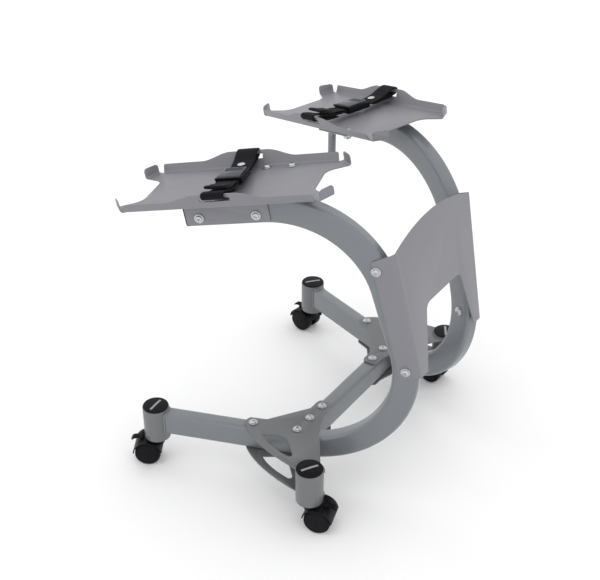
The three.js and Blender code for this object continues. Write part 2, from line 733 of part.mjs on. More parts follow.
function addCaster(place, x, y) {
  const heading = new THREE.Matrix4().makeRotationZ(rad(CASTER_HEADING_DEG[place]));
  const here = new THREE.Matrix4().makeTranslation(x, y, 0).multiply(heading);
  const wheel = casterWheel();
  add(`caster_hood_${place}`, moved(casterHood(), here), FINISH.plastic);
  add(`caster_wheel_a_${place}`, moved(wheel, here), FINISH.plastic);
  const across = here.clone().multiply(new THREE.Matrix4().makeScale(1, -1, 1));
  add(`caster_wheel_b_${place}`, moved(wheel, across), FINISH.plastic);
  add(`brake_lever_${place}`, moved(brakeLever(), here), FINISH.plastic);
}

// ---------------------------------------------------------------- the stand
addPair('side_tube', sideTube(), FINISH.tube);
add('cross_tube', crossTube(), FINISH.tube);
addPair('tube_end_plug', tubeEndPlug(), FINISH.plastic);
addPair('gusset_top_plate', gussetTopPlate(), FINISH.plate);
addPair('gusset_bottom_plate', gussetPlate(plateBottom), FINISH.plate);
add('rear_panel', rearPanel(), FINISH.sheet);

for (const [end, { x, y }] of Object.entries({ front: FRONT_SOCKET, rear: REAR_SOCKET })) {
  const here = new THREE.Matrix4().makeTranslation(x, y, 0);
  addPair(`caster_socket_${end}`, moved(socket(), here), FINISH.tube);
  addPair(`socket_cap_${end}`, moved(cap(), here), FINISH.plastic);
  addCaster(`${end}_right`, x, y);
  addCaster(`${end}_left`, -x, y);
}

const gussetBolt = bolt(plateTop + GAP - plateBottom + TAIL);
GUSSET_BOLTS.forEach(({ x, y }, i) => {
  const here = new THREE.Matrix4().makeTranslation(x, y, plateTop + GAP);
  addPair(`gusset_bolt_${i + 1}`, moved(gussetBolt, here), FINISH.zinc);
});

const cheekFace = TUBE.width / 2 + GAP + BRACKET.cheekT + GAP;
const bracketBolt = bolt(2 * cheekFace + TAIL);
BRACKET_BOLTS.forEach(({ y, z }, i) => {
  const here = ARM.clone().multiply(outwardFrame(cheekFace, y, z));
  addPair(`bracket_bolt_${i + 1}`, moved(bracketBolt, here), FINISH.zinc);
});

addPair('tray', tray(), FINISH.sheet);
addPair('tray_bracket', trayBracket(), FINISH.sheet);
addPair('tray_post', trayPost(), FINISH.tube);
addOnTrays('strap', strap(), FINISH.webbing);
addOnTrays('strap_rivet', strapRivet(), FINISH.zinc);
addOnTrays('buckle_body', buckleBody(), FINISH.plastic);
addOnTrays('buckle_lever', buckleLever(), FINISH.lever);

// The origin is on the ground, under the middle of the stand's box.
const bounds = new THREE.Box3().setFromObject(stand);
const middle = bounds.getCenter(new THREE.Vector3());
stand.position.set(-middle.x, -middle.y, -bounds.min.z);

export default stand;
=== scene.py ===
"""Looks of a rolling stand for two adjustable dumbbells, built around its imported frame.

Shapes are drawn in millimetres in the frame of the part they belong to, and are then placed in metres.
"""

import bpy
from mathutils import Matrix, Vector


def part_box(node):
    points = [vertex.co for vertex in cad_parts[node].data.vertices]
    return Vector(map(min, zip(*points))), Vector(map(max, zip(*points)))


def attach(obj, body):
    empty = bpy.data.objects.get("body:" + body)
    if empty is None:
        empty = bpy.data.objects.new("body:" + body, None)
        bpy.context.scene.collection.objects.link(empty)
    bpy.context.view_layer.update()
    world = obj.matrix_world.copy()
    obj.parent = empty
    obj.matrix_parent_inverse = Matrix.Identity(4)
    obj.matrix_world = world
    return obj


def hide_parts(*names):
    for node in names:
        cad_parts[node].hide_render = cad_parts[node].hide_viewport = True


bl_info = {
    "name": "Rolling Dumbbell Stand",
    "version": (1, 0, 0),
    "blender": (4, 5, 0),
    "location": "3D View > Sidebar > Stand",
    "description": "Models the tubes, trays, straps and casters of a rolling dumbbell stand",
    "category": "Object",
}

import math

import bmesh
import bpy
from bpy.props import FloatProperty, FloatVectorProperty, IntProperty, PointerProperty
from mathutils import Matrix, Vector

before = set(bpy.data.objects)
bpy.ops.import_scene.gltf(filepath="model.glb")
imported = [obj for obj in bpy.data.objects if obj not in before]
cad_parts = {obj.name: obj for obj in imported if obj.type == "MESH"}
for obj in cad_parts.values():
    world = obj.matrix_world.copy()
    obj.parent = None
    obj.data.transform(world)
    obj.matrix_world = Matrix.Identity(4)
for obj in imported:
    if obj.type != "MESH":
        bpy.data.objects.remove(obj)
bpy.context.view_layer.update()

MM = 0.001
PLACE = Matrix.Scale(MM, 4)
MIRROR = Matrix.Scale(-1, 4, (1, 0, 0))
SIDES = (("right", False), ("left", True))


# ---------------------------------------------------------------- frames of the stand
def middle_of(node):
    low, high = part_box(node)
    return (low + high) / 2 / MM


def axes(x, y, origin=(0, 0, 0)):
    """A frame with its X and Y along the given directions."""
    x, y = Vector(x).normalized(), Vector(y).normalized()
    made = Matrix((x, y, x.cross(y))).transposed().to_4x4()
    made.translation = origin
    return made


def at(x, y, z):
    return Matrix.Translation((x, y, z))


FRONT = middle_of("caster_socket_front_right")
REAR = middle_of("caster_socket_rear_right")
CROSS_Y = middle_of("cross_tube").y
TOE = math.radians(20)
LEAN = math.radians(107)
TILT = math.radians(10.4)
ROLL = math.radians(3)
TUBE_Z = 97.0
LOWER_RUN, LOWER_BEND, BACK_RUN, UPPER_BEND, ARM_RUN = 290.0, 185.0, 120.0, 187.5, 130.0
PAN_X, PAN_Y, PAN_FLOOR = -33.0, -52.5, 28.3
GAP = 0.3
SOCKET_RADIUS = 25.4

# The right side tube's plane: X outward, Y rearward from the front socket.
SIDE = axes((math.cos(TOE), math.sin(TOE), 0), (-math.sin(TOE), math.cos(TOE), 0), (FRONT.x, FRONT.y, 0))
LOWER_CENTRE = Vector((0, LOWER_RUN, TUBE_Z + LOWER_BEND))
BACK_LOW = LOWER_CENTRE + LOWER_BEND * Vector((0, math.sin(LEAN), -math.cos(LEAN)))
BACK_HIGH = BACK_LOW + BACK_RUN * Vector((0, math.cos(LEAN), math.sin(LEAN)))
UPPER_CENTRE = BACK_HIGH - UPPER_BEND * Vector((0, math.sin(LEAN), -math.cos(LEAN)))
ARM_TURN = math.pi + TILT
ARM_START = UPPER_CENTRE + UPPER_BEND * Vector((0, math.sin(ARM_TURN), -math.cos(ARM_TURN)))
ARM = SIDE @ axes((1, 0, 0), (0, math.cos(TILT), math.sin(TILT)), ARM_START)
# The middle of the tray's floor.
PAN_ORIGIN = (PAN_X, PAN_Y, PAN_FLOOR - abs(PAN_X) * math.sin(ROLL))
PAN = ARM @ axes((math.cos(ROLL), 0, math.sin(ROLL)), (0, 1, 0), PAN_ORIGIN)

CASTERS = {
    "front_right": (FRONT.x, FRONT.y, -58),
    "rear_right": (REAR.x, REAR.y, 106),
    "front_left": (-FRONT.x, FRONT.y, -98),
    "rear_left": (-REAR.x, REAR.y, -95),
}


# ---------------------------------------------------------------- settings
def length(name, description, default):
    return FloatProperty(name=name, description=description, default=default, min=0.0, unit="LENGTH")


def colour(name, description, default):
    return FloatVectorProperty(
        name=name, description=description, default=default, size=3, min=0, max=1, subtype="COLOR"
    )


class StandSizes(bpy.types.PropertyGroup):
    """Sizes that shape the stand's visible pieces."""

    tube_width: length("Tube Width", "Width of the rectangular tubes", 0.030)
    tube_height: length("Tube Height", "Height of the rectangular tubes", 0.048)
    tube_corner: length("Tube Corner", "Outside corner radius of the rectangular tubes", 0.008)
    sheet: length("Sheet", "Thickness of the tray and panel sheet", 0.002)
    fold: length("Tray Fold", "Inside bend radius of the trays", 0.003)
    panel_fold: length("Panel Fold", "Bend radius of the rear panel", 0.007)
    edge: length("Edge Rounding", "Rounding left on sheared edges by the paint", 0.0004)
    weld: length("Weld Bead", "Radius of the weld beads", 0.0022)
    strap_width: length("Strap Width", "Width of the webbing", 0.040)
    strap_thickness: length("Strap Thickness", "Thickness of the webbing", 0.0022)
    bend_steps: IntProperty(name="Bend Steps", description="Steps in each tube bend", default=40, min=8)


class StandColours(bpy.types.PropertyGroup):
    """Colours of the stand's finishes."""

    tube: colour("Tube Paint", "Silver-grey powder coat of the tubes", (0.172, 0.184, 0.200))
    socket: colour("Socket Paint", "Grey powder coat of the caster sockets", (0.148, 0.152, 0.160))
    plate: colour("Plate Paint", "Mid-grey powder coat of the gusset plates", (0.146, 0.151, 0.156))
    sheet: colour("Sheet Paint", "Warm grey powder coat of the trays and panel", (0.204, 0.205, 0.226))
    zinc: colour("Zinc", "Bright zinc plating of the bolts", (0.56, 0.57, 0.58))
    rivet: colour("Rivet", "Nickelled rivet", (0.62, 0.57, 0.55))
    plastic: colour("Plastic", "Black moulded plastic", (0.006, 0.006, 0.0075))
    # The lever's colour is its dark plastic plus a painted sheen: the blue-grey reflection of the light is
    # put into the colour.
    lever: colour("Buckle Lever", "Dark grey plastic of the buckle's lever", (0.050, 0.051, 0.068))
    webbing: colour("Webbing", "Black woven strap", (0.006, 0.006, 0.007))
    emblem: colour("Cap Bar", "Plain bar on the socket caps", (0.30, 0.31, 0.31))


class StageSettings(bpy.types.PropertyGroup):
    """Camera and light."""

    lens: FloatProperty(name="Lens", description="Focal length", default=62.93, min=10, unit="CAMERA")
    sky: FloatProperty(name="Sky", description="Strength of the surrounding light", default=1.12, min=0)
    key: FloatProperty(name="Key", description="Power of the key light", default=2.0, min=0, unit="POWER")
    floor: colour("Floor", "Colour of the plain floor", (0.95, 0.95, 0.95))


def sizes():
    return bpy.context.scene.stand_sizes


def colours():
    return bpy.context.scene.stand_colours


def mm(value):
    """A length setting in millimetres."""
    return value / MM


# ---------------------------------------------------------------- shader nodes
class Socket:
    """An output of a node that takes part in Python sums."""

    def __init__(self, finish, output):
        self.finish, self.output = finish, output

    def maths(self, operation, a, b):
        return self.finish.node("ShaderNodeMath", {"operation": operation}, {0: a, 1: b})

    def __add__(self, other):
        return self.maths("ADD", self, other)

    def __sub__(self, other):
        return self.maths("SUBTRACT", self, other)

    def __rsub__(self, other):
        return self.maths("SUBTRACT", other, self)

    def __mul__(self, other):
        return self.maths("MULTIPLY", self, other)

    __radd__, __rmul__ = __add__, __mul__


class Finish:
    """A material with one principled shader, fed by small node sums."""

    def __init__(self, name, **numbers):
        self.material = bpy.data.materials.new(name)
        self.material.use_nodes = True
        self.tree = self.material.node_tree
        self.shader = self.tree.nodes["Principled BSDF"]
        for key, value in numbers.items():
            self.put(self.shader.inputs[key.replace("_", " ").title().replace("Ior", "IOR")], value)

    def put(self, socket, value):
        if isinstance(value, Socket):
            self.tree.links.new(value.output, socket)
        elif isinstance(value, (tuple, list)) and len(value) == 3 and len(socket.default_value) == 4:
            socket.default_value = (*value, 1)
        else:
            socket.default_value = value

    def node(self, kind, settings=None, inputs=None, output=0):
        made = self.tree.nodes.new(kind)
        for key, value in (settings or {}).items():
            setattr(made, key, value)
        for key, value in (inputs or {}).items():
            self.put(made.inputs[key], value)
        return Socket(self, made.outputs[output])

    def place(self, own_map=False):
        return self.node("ShaderNodeTexCoord", output="UV" if own_map else "Object")

    def noise(self, scale, detail, where=None):
        inputs = {"Vector": where or self.place(), "Scale": scale, "Detail": detail, "Roughness": 0.5}
        return self.node("ShaderNodeTexNoise", None, inputs)

    def mix(self, factor, a, b):
        return self.node("ShaderNodeMix", {"data_type": "RGBA"}, {0: factor, 6: a, 7: b}, 2)

    def bump(self, height, strength, distance):
        inputs = {"Height": height, "Strength": strength, "Distance": distance}
        self.put(self.shader.inputs["Normal"], self.node("ShaderNodeBump", None, inputs))

    def tint(self, factor, base, low, high):
        """Base colour that wanders between low and high times itself."""
        dark, light = ([channel * share for channel in base] for share in (low, high))
        self.put(self.shader.inputs["Base Color"], self.mix(factor, dark, light))

    def gloss(self, value):
        self.put(self.shader.inputs["Roughness"], value)


FINISHES = {}


def powder_coat(name, base, roughness, metallic, coat):
    """Painted steel: faint clouding and flake, with the slight orange peel of powder coat."""
    made = Finish(name, metallic=metallic, coat_weight=coat, coat_roughness=0.16, ior=1.5)
    clouds, flake = made.noise(9, 3), made.noise(1400, 1)
    made.tint(clouds * 0.6 + flake * 0.4, base, 0.92, 1.08)
    made.gloss(roughness - 0.05 + made.noise(40, 3) * 0.1)
    made.bump(made.noise(330, 2) + made.noise(1600, 1) * 0.3, 0.12, 0.0002)
    return made.material


def moulded(name, base, roughness, grain=0.3, coat=0.0):
    """Moulded plastic with a fine spark-eroded grain."""
    made = Finish(name, coat_weight=coat, coat_roughness=0.2, ior=1.49, specular_ior_level=0.09)
    made.tint(made.noise(60, 3), base, 0.8, 1.25)
    made.gloss(roughness - 0.06 + made.noise(150, 3) * 0.12)
    made.bump(made.noise(1900, 2), grain, 0.00015)
    return made.material


def plated(name, base, roughness):
    """Bright plating with faint brushing and dull patches."""
    made = Finish(name, metallic=1.0)
    made.tint(made.noise(220, 3), base, 0.82, 1.1)
    made.gloss(roughness + made.noise(420, 4) * 0.16)
    made.bump(made.noise(900, 3), 0.1, 0.0001)
    return made.material


def woven(name, base):
    """Ribbed webbing: rows of yarn along the strap, crossed by the weft, with a soft sheen."""
    made = Finish(name, ior=1.45, specular_ior_level=0.08, sheen_weight=0.04, sheen_roughness=0.5)
    where = made.place(own_map=True)
    yarn, weft = (
        made.node(
            "ShaderNodeTexWave",
            {"bands_direction": direction, "wave_profile": "SIN"},
            {"Vector": where, "Scale": scale, "Distortion": 0.35, "Detail": 1.0, "Detail Scale": 3.0},
            1,
        )
        for direction, scale in (("Y", 2.3), ("X", 3.4))
    )
    weave = yarn * 0.7 + weft * 0.5
    made.tint(weave * 0.6 + made.noise(25, 3, where) * 0.4, base, 0.55, 2.2)
    made.gloss(0.78 + made.noise(9, 2, where) * 0.16)
    made.bump(weave + made.noise(16, 3, where) * 0.4, 0.55, 0.0004)
    return made.material


def make_finishes():
    pick = colours()
    FINISHES.update(
        tube=powder_coat("Tube powder coat", pick.tube, 0.36, 0.25, 0.45),
        socket=powder_coat("Socket powder coat", pick.socket, 0.42, 0.2, 0.25),
        plate=powder_coat("Gusset powder coat", pick.plate, 0.46, 0.2, 0.15),
        sheet=powder_coat("Sheet powder coat", pick.sheet, 0.48, 0.15, 0.12),
        zinc=plated("Bright zinc", pick.zinc, 0.2),
        rivet=plated("Nickelled rivet", pick.rivet, 0.2),
        cap=moulded("Cap plastic", pick.plastic, 0.42, 0.2),
        caster=moulded("Caster nylon", pick.plastic, 0.36, 0.15, 0.03),
        buckle=moulded("Buckle plastic", pick.plastic, 0.4, 0.3),
        # painted sheen: the lever's blue-grey colour holds the light's reflection as well as the dark plastic
        lever=moulded("Lever plastic", pick.lever, 0.34, 0.25, 0.3),
        emblem=moulded("Cap bar", pick.emblem, 0.35, 0.1),
        webbing=woven("Strap webbing", pick.webbing),
        # the thread takes the lever's colour, painted sheen included
        thread=moulded("Thread", pick.lever, 0.7, 0.5),
    )


# ---------------------------------------------------------------- shapes
def own_map(bm):
    """A map of the shape's own X and Y, in centimetres, for patterns that follow the piece."""
    layer = bm.loops.layers.uv.new("UVMap")
    for face in bm.faces:
        for corner in face.loops:
            corner[layer].uv = corner.vert.co.xy / 10


def piece(
    name, bm, here, finish, slot, body="stand", nodes=(), mirrored=False,
    smooth=40, sheet=0.0, side=-1, edge=0.0,
):
    """A finished object from a shape drawn in the frame here; the shape itself is left as it was."""
    shape = bm.copy()
    shape.transform((MIRROR if mirrored else Matrix.Identity(4)) @ PLACE @ here)
    if mirrored:
        bmesh.ops.reverse_faces(shape, faces=shape.faces)
    mesh = bpy.data.meshes.new(name)
    shape.to_mesh(mesh)
    shape.free()
    mesh.shade_smooth()
    mesh.set_sharp_from_angle(angle=math.radians(smooth))
    mesh.materials.append(FINISHES[finish])
    made = bpy.data.objects.new(name, mesh)
    bpy.context.scene.collection.objects.link(made)
    if sheet:
        wall = made.modifiers.new("Sheet", "SOLIDIFY")
        wall.thickness, wall.offset, wall.use_even_offset = sheet, side, True
    if edge:
        rim = made.modifiers.new("Edges", "BEVEL")
        rim.width, rim.segments, rim.limit_method, rim.angle_limit = edge, 2, "ANGLE", math.radians(50)
    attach(made, body)
    if nodes:
        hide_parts(*nodes)
    return made


def both_sides(name, bm, here, finish, slot, node=None, **more):
    """The piece on the right-hand side and its mirror image."""
    made = []
    for side, mirrored in SIDES:
        nodes = (f"{node}_{side}",) if node else ()
        made.append(piece(f"{name}_{side}", bm, here, finish, slot, nodes=nodes, mirrored=mirrored, **more))
    return made


def on_trays(name, bm, finish, slot, node=None, moves=False, **more):
    """The piece on both trays, the same way round on each."""
    made = []
    for side, mirrored in SIDES:
        here = MIRROR @ PAN @ MIRROR if mirrored else PAN
        nodes = (f"{node}_{side}",) if node else ()
        body = nodes[0] if moves else "stand"
        made.append(piece(f"{name}_{side}", bm, here, finish, slot, body, nodes, **more))
    return made


def outward(bm):
    bmesh.ops.remove_doubles(bm, verts=bm.verts, dist=0.001)
    bmesh.ops.recalc_face_normals(bm, faces=bm.faces)
    return bm


def facing(bm, sign):
    """A sheet whose widest face looks along Z, up or down as the sign says."""
    bmesh.ops.recalc_face_normals(bm, faces=bm.faces)
    if sign * max(bm.faces, key=lambda f: f.calc_area()).normal.z < 0:
        bmesh.ops.reverse_faces(bm, faces=bm.faces)
    return bm


def face_of(bm, points):
    return bm.faces.new([bm.verts.new(point) for point in points])


def round_corners(bm, corners, offset, segments=5):
    bmesh.ops.bevel(
        bm, geom=corners, offset=offset, segments=segments, profile=0.5, affect="VERTICES", material=-1
    )


def round_edges(bm, width, segments=2, angle=35):
    """Rounds the edges that turn by more than the angle."""
    edges = [e for e in bm.edges if len(e.link_faces) == 2 and e.calc_face_angle() > math.radians(angle)]
    bmesh.ops.bevel(
        bm, geom=edges, offset=width, segments=segments, profile=0.5, affect="EDGES",
        clamp_overlap=True, material=-1,
    )
    return bm


def verts_in(geom):
    return [v for v in geom if isinstance(v, bmesh.types.BMVert)]


def edges_in(geom):
    return [e for e in geom if isinstance(e, bmesh.types.BMEdge)]


def bevel_folds(bm, width, segments):
    """Bends a sheet's folds to a radius."""
    folds = [e for e in bm.edges if len(e.link_faces) == 2]
    bmesh.ops.bevel(
        bm, geom=folds, offset=width, segments=segments, profile=0.5, affect="EDGES", material=-1
    )


def cut(bm, point, normal, clear_outer=False):
    """Cuts all of the shape along a plane."""
    bmesh.ops.bisect_plane(
        bm, geom=bm.verts[:] + bm.edges[:] + bm.faces[:], plane_co=point, plane_no=normal,
        clear_outer=clear_outer,
    )


def close_holes(bm):
    bmesh.ops.holes_fill(bm, edges=[e for e in bm.edges if e.is_boundary], sides=0)


def rise(bm, faces, step):
    """Extrudes the faces by a step."""
    made = bmesh.ops.extrude_face_region(bm, geom=faces)["geom"]
    bmesh.ops.translate(bm, vec=step, verts=verts_in(made))


def prism(points, step, corner=0.0, edge=0.0, segments=5):
    """A flat outline with rounded corners, thickened by a step."""
    bm = bmesh.new()
    face_of(bm, points)
    if corner:
        round_corners(bm, bm.verts[:], corner, segments)
    rise(bm, bm.faces[:], step)
    outward(bm)
    return round_edges(bm, edge) if edge else bm


def block(low, high, edge=0.6, segments=2):
    bm = bmesh.new()
    low, high = Vector(low), Vector(high)
    size = high - low
    bmesh.ops.create_cube(bm, size=1, matrix=at(*(low + high) / 2) @ Matrix.Diagonal((*size, 1)))
    return round_edges(bm, edge, segments)


def lathe(profile, steps):
    """A profile of (radius, height) pairs turned about Z."""
    bm = bmesh.new()
    verts = [bm.verts.new((radius, 0, height)) for radius, height in profile]
    line = [bm.edges.new(pair) for pair in zip(verts, verts[1:])]
    bmesh.ops.spin(
        bm, geom=verts + line, cent=(0, 0, 0), axis=(0, 0, 1), angle=math.tau, steps=steps, use_merge=True
    )
    return outward(bm)


def add_shape(bm, other, here=None):
    """Joins a second shape into the first, moved by here."""
    if here is not None:
        other.transform(here)
    mesh = bpy.data.meshes.new("part")
    other.to_mesh(mesh)
    bm.from_mesh(mesh)
    bpy.data.meshes.remove(mesh)
    other.free()
    return bm


def merged(*shapes):
    first, *others = shapes
    for other in others:
        add_shape(first, other)
    return first


def section(width, height, corner):
    """Edges of a rounded rectangle in X and Z."""
    bm = bmesh.new()
    x, z = width / 2, height / 2
    face_of(bm, [(-x, 0, -z), (x, 0, -z), (x, 0, z), (-x, 0, z)])
    round_corners(bm, bm.verts[:], corner, 6)
    bmesh.ops.delete(bm, geom=bm.faces[:], context="FACES_ONLY")
    return bm


def pushed(bm, edges, step):
    """Extrudes a ring of edges and returns the new ring."""
    made = bmesh.ops.extrude_edge_only(bm, edges=edges)["geom"]
    bmesh.ops.translate(bm, vec=step, verts=verts_in(made))
    return edges_in(made)


def turned(bm, edges, centre, angle, steps):
    """Spins a ring of edges about an axis along X and returns the new ring."""
    verts = list({v for e in edges for v in e.verts})
    made = bmesh.ops.spin(
        bm, geom=verts + edges, cent=centre, axis=(1, 0, 0), angle=angle, steps=steps
    )["geom_last"]
    return edges_in(made)


def bead(name, points, radius, finish, slot, closed=True):
    """A slightly rippled weld of round section along points given in metres."""
    curve = bpy.data.curves.new(name, "CURVE")
    curve.dimensions, curve.bevel_depth, curve.bevel_resolution = "3D", radius, 3
    curve.use_fill_caps = not closed
    line = curve.splines.new("POLY")
    line.points.add(len(points) - 1)
    for i, (spot, point) in enumerate(zip(line.points, points)):
        spot.co = (*point, 1)
        spot.radius = 1 + 0.12 * math.sin(2.1 * i)
    line.use_cyclic_u = closed
    holder = bpy.data.objects.new(name + "_line", curve)
    bpy.context.scene.collection.objects.link(holder)
    bpy.context.view_layer.update()
    mesh = bpy.data.meshes.new_from_object(holder.evaluated_get(bpy.context.evaluated_depsgraph_get()))
    bpy.data.objects.remove(holder)
    bpy.data.curves.remove(curve)
    bm = bmesh.new()
    bm.from_mesh(mesh)
    bpy.data.meshes.remove(mesh)
    outward(bm)
    piece(name, bm, Matrix.Scale(1 / MM, 4), finish, slot)
    bm.free()


def refined(name, node, finish, slot, width):
    """A CAD plate with its sheared edges rounded."""
    bm = bmesh.new()
    bm.from_mesh(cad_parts[node].data)
    bmesh.ops.remove_doubles(bm, verts=bm.verts, dist=1e-6)
    bmesh.ops.dissolve_limit(bm, angle_limit=math.radians(1), verts=bm.verts, edges=bm.edges)
    round_edges(bm, width)
    piece(name, bm, Matrix.Scale(1 / MM, 4), finish, slot, nodes=(node,))
    bm.free()


# ---------------------------------------------------------------- tubes
def tube_section():
    p = sizes()
    return section(mm(p.tube_width), mm(p.tube_height), mm(p.tube_corner))


def bent_tube():
    """Side tube from inside the front socket, round both bends, to the front of the arm."""
    bm = tube_section()
    start = 21.5
    bmesh.ops.translate(bm, vec=(0, start, TUBE_Z), verts=bm.verts)
    steps = sizes().bend_steps
    ring = pushed(bm, bm.edges[:], (0, LOWER_RUN - start, 0))
    ring = turned(bm, ring, LOWER_CENTRE, LEAN, steps)
    ring = pushed(bm, ring, BACK_HIGH - BACK_LOW)
    ring = turned(bm, ring, UPPER_CENTRE, ARM_TURN - LEAN, steps)
    pushed(bm, ring, (0, -ARM_RUN * math.cos(TILT), -ARM_RUN * math.sin(TILT)))
    close_holes(bm)
    return outward(bm)


def cross_tube():
    """Straight tube cut off flush with the side tubes."""
    bm = tube_section()
    bm.transform(at(-FRONT.x, CROSS_Y, TUBE_Z) @ axes((0, 1, 0), (1, 0, 0)))
    pushed(bm, bm.edges[:], (2 * FRONT.x, 0, 0))
    face = SIDE @ Vector((-mm(sizes().tube_width) / 2 - GAP, 0, 0))
    for sign in (1, -1):
        cut(bm, (sign * face.x, face.y, 0), (sign * math.cos(TOE), math.sin(TOE), 0), True)
    close_holes(bm)
    return outward(bm)


def end_plug():
    """Moulded plug in the front end of the arm, with a shallow dished face."""
    bm = tube_section()
    bmesh.ops.holes_fill(bm, edges=bm.edges[:], sides=0)
    rise(bm, bm.faces[:], (0, -3, 0))
    outward(bm)
    front = min(bm.faces, key=lambda f: f.calc_center_median().y)
    bmesh.ops.inset_individual(bm, faces=[front], thickness=3.5, depth=-0.8)
    return round_edges(bm, 0.7, 2, 50)


def weld_round_tube(outside, ring_x, ring_z, corner, lift):
    """Points where a rounded-rectangle tube meets the round socket, in the side frame."""
    points = []
    for quarter in range(4):
        cx = (ring_x - corner) * (1 if quarter in (0, 3) else -1)
        cz = (ring_z - corner) * (1 if quarter < 2 else -1)
        for i in range(7):
            a = math.radians(90 * quarter + 15 * i)
            x, z = cx + corner * math.cos(a), cz + corner * math.sin(a)
            points.append(Vector((x, math.sqrt(outside**2 - x * x) + lift, TUBE_Z + z)))
    return points


def filled_in(points, step):
    """The same closed line with points about a step apart."""
    made = []
    for a, b in zip(points, points[1:] + points[:1]):
        count = max(1, round((b - a).length / step))
        made += [a.lerp(b, i / count) for i in range(count)]
    return made


class STAND_OT_tubes(bpy.types.Operator):
    """Model the bent side tubes, the cross tube, the end plugs and the weld beads"""

    bl_idname = "stand.tubes"
    bl_label = "Tubes"

    def execute(self, context):
        p = sizes()
        both_sides("bent_tube", bent_tube(), SIDE, "tube", "tube_paint", "side_tube", smooth=30)
        cross = cross_tube()
        piece(
            "straight_tube", cross, Matrix.Identity(4), "tube", "tube_paint", nodes=("cross_tube",), smooth=30
        )
        front = ARM @ at(0, -ARM_RUN - GAP, 0)
        both_sides("arm_plug", end_plug(), front, "cap", "cap_plastic", "tube_end_plug")
        half_width, half_height = mm(p.tube_width) / 2 + 0.2, mm(p.tube_height) / 2 + 0.2
        line = weld_round_tube(SOCKET_RADIUS, half_width, half_height, mm(p.tube_corner), 0.6)
        for side, mirrored in SIDES:
            here = (MIRROR if mirrored else Matrix.Identity(4)) @ PLACE @ SIDE
            points = [here @ v for v in filled_in(line, 2.2)]
            bead(f"socket_weld_{side}", points, p.weld, "tube", "tube_paint")
        return {"FINISHED"}


# ---------------------------------------------------------------- sockets and caps
class STAND_OT_sockets(bpy.types.Operator):
    """Model the round caster sockets, their domed caps and the plain bars on them"""

    bl_idname = "stand.sockets"
    bl_label = "Sockets and Caps"

    def execute(self, context):
        wall = lathe([
            (25.4, 59), (25.4, 126.5), (25.1, 127.2), (24.4, 127.5), (23.4, 127.4), (22.9, 126.9), (22.9, 64),
            (5.9, 64), (5.9, 60), (22.9, 60), (22.9, 58.5), (23.4, 58), (24.6, 58), (25.2, 58.3), (25.4, 59),
        ], 72)
        dome = lathe([
            (0, 118.8), (22.4, 118.8), (22.4, 127.8), (24.0, 127.8), (24.5, 128.2), (24.5, 128.8),
            (24.1, 129.5), (23.3, 129.9), (22.2, 129.7), (21.5, 129.8), (16, 130.5), (8, 130.9), (0, 131),
        ], 72)
        bar = block((-17, -2.6, 129.6), (17, 2.6, 131.1), 0.5)
        bmesh.ops.subdivide_edges(bar, edges=bar.edges[:], cuts=3, use_grid_fill=True)
        for v in bar.verts:
            v.co.z -= v.co.xy.length_squared * 0.0021
        bar_turns = {"front_right": 6, "rear_right": 149, "front_left": 140, "rear_left": 30}
        for place, (x, y, _) in CASTERS.items():
            here = at(x, y, 0)
            piece(f"socket_{place}", wall, here, "socket", "tube_paint", nodes=(f"caster_socket_{place}",))
            piece(f"cap_{place}", dome, here, "cap", "cap_plastic", nodes=(f"socket_cap_{place}",))
            spin = here @ Matrix.Rotation(math.radians(bar_turns[place]), 4, "Z")
            piece(f"cap_bar_{place}", bar, spin, "emblem", "cap_plastic")
        return {"FINISHED"}


# ---------------------------------------------------------------- gusset plates
PLATE_TOP, PLATE_BOTTOM = 124.6, 69.4
WELD_LEVELS = (("top", 124.2), ("bottom", 69.6))
WELD_RING = 25.9


class STAND_OT_gussets(bpy.types.Operator):
    """Model the gusset plates and the welds that hold the rear sockets between them"""

    bl_idname = "stand.gussets"
    bl_label = "Gusset Plates"

    def execute(self, context):
        for side, mirrored in SIDES:
            for level in ("top", "bottom"):
                node = f"gusset_{level}_plate_{side}"
                refined(f"{level}_gusset_{side}", node, "plate", "plate_paint", 0.0006)
            sign = -1 if mirrored else 1
            for level, z in WELD_LEVELS:
                points = []
                for a in (math.radians(a) for a in range(112, 262, 5)):
                    x, y = REAR.x + WELD_RING * math.cos(a), REAR.y + WELD_RING * math.sin(a)
                    points.append(Vector((sign * x, y, z)) * MM)
                bead(f"gusset_weld_{level}_{side}", points, 0.0014, "plate", "plate_paint", closed=False)
        return {"FINISHED"}


# ---------------------------------------------------------------- rear panel
# (distance along the side frame, height) at the ends of the panel's folds and of its flanges' free edges
FOLD_HIGH, FOLD_LOW = (444, 529), (502, 292)
FLANGE_HIGH, FLANGE_LOW = (407, 511), (465, 284)
NOTCH_HEIGHT = 118
CREST_RISE = 25


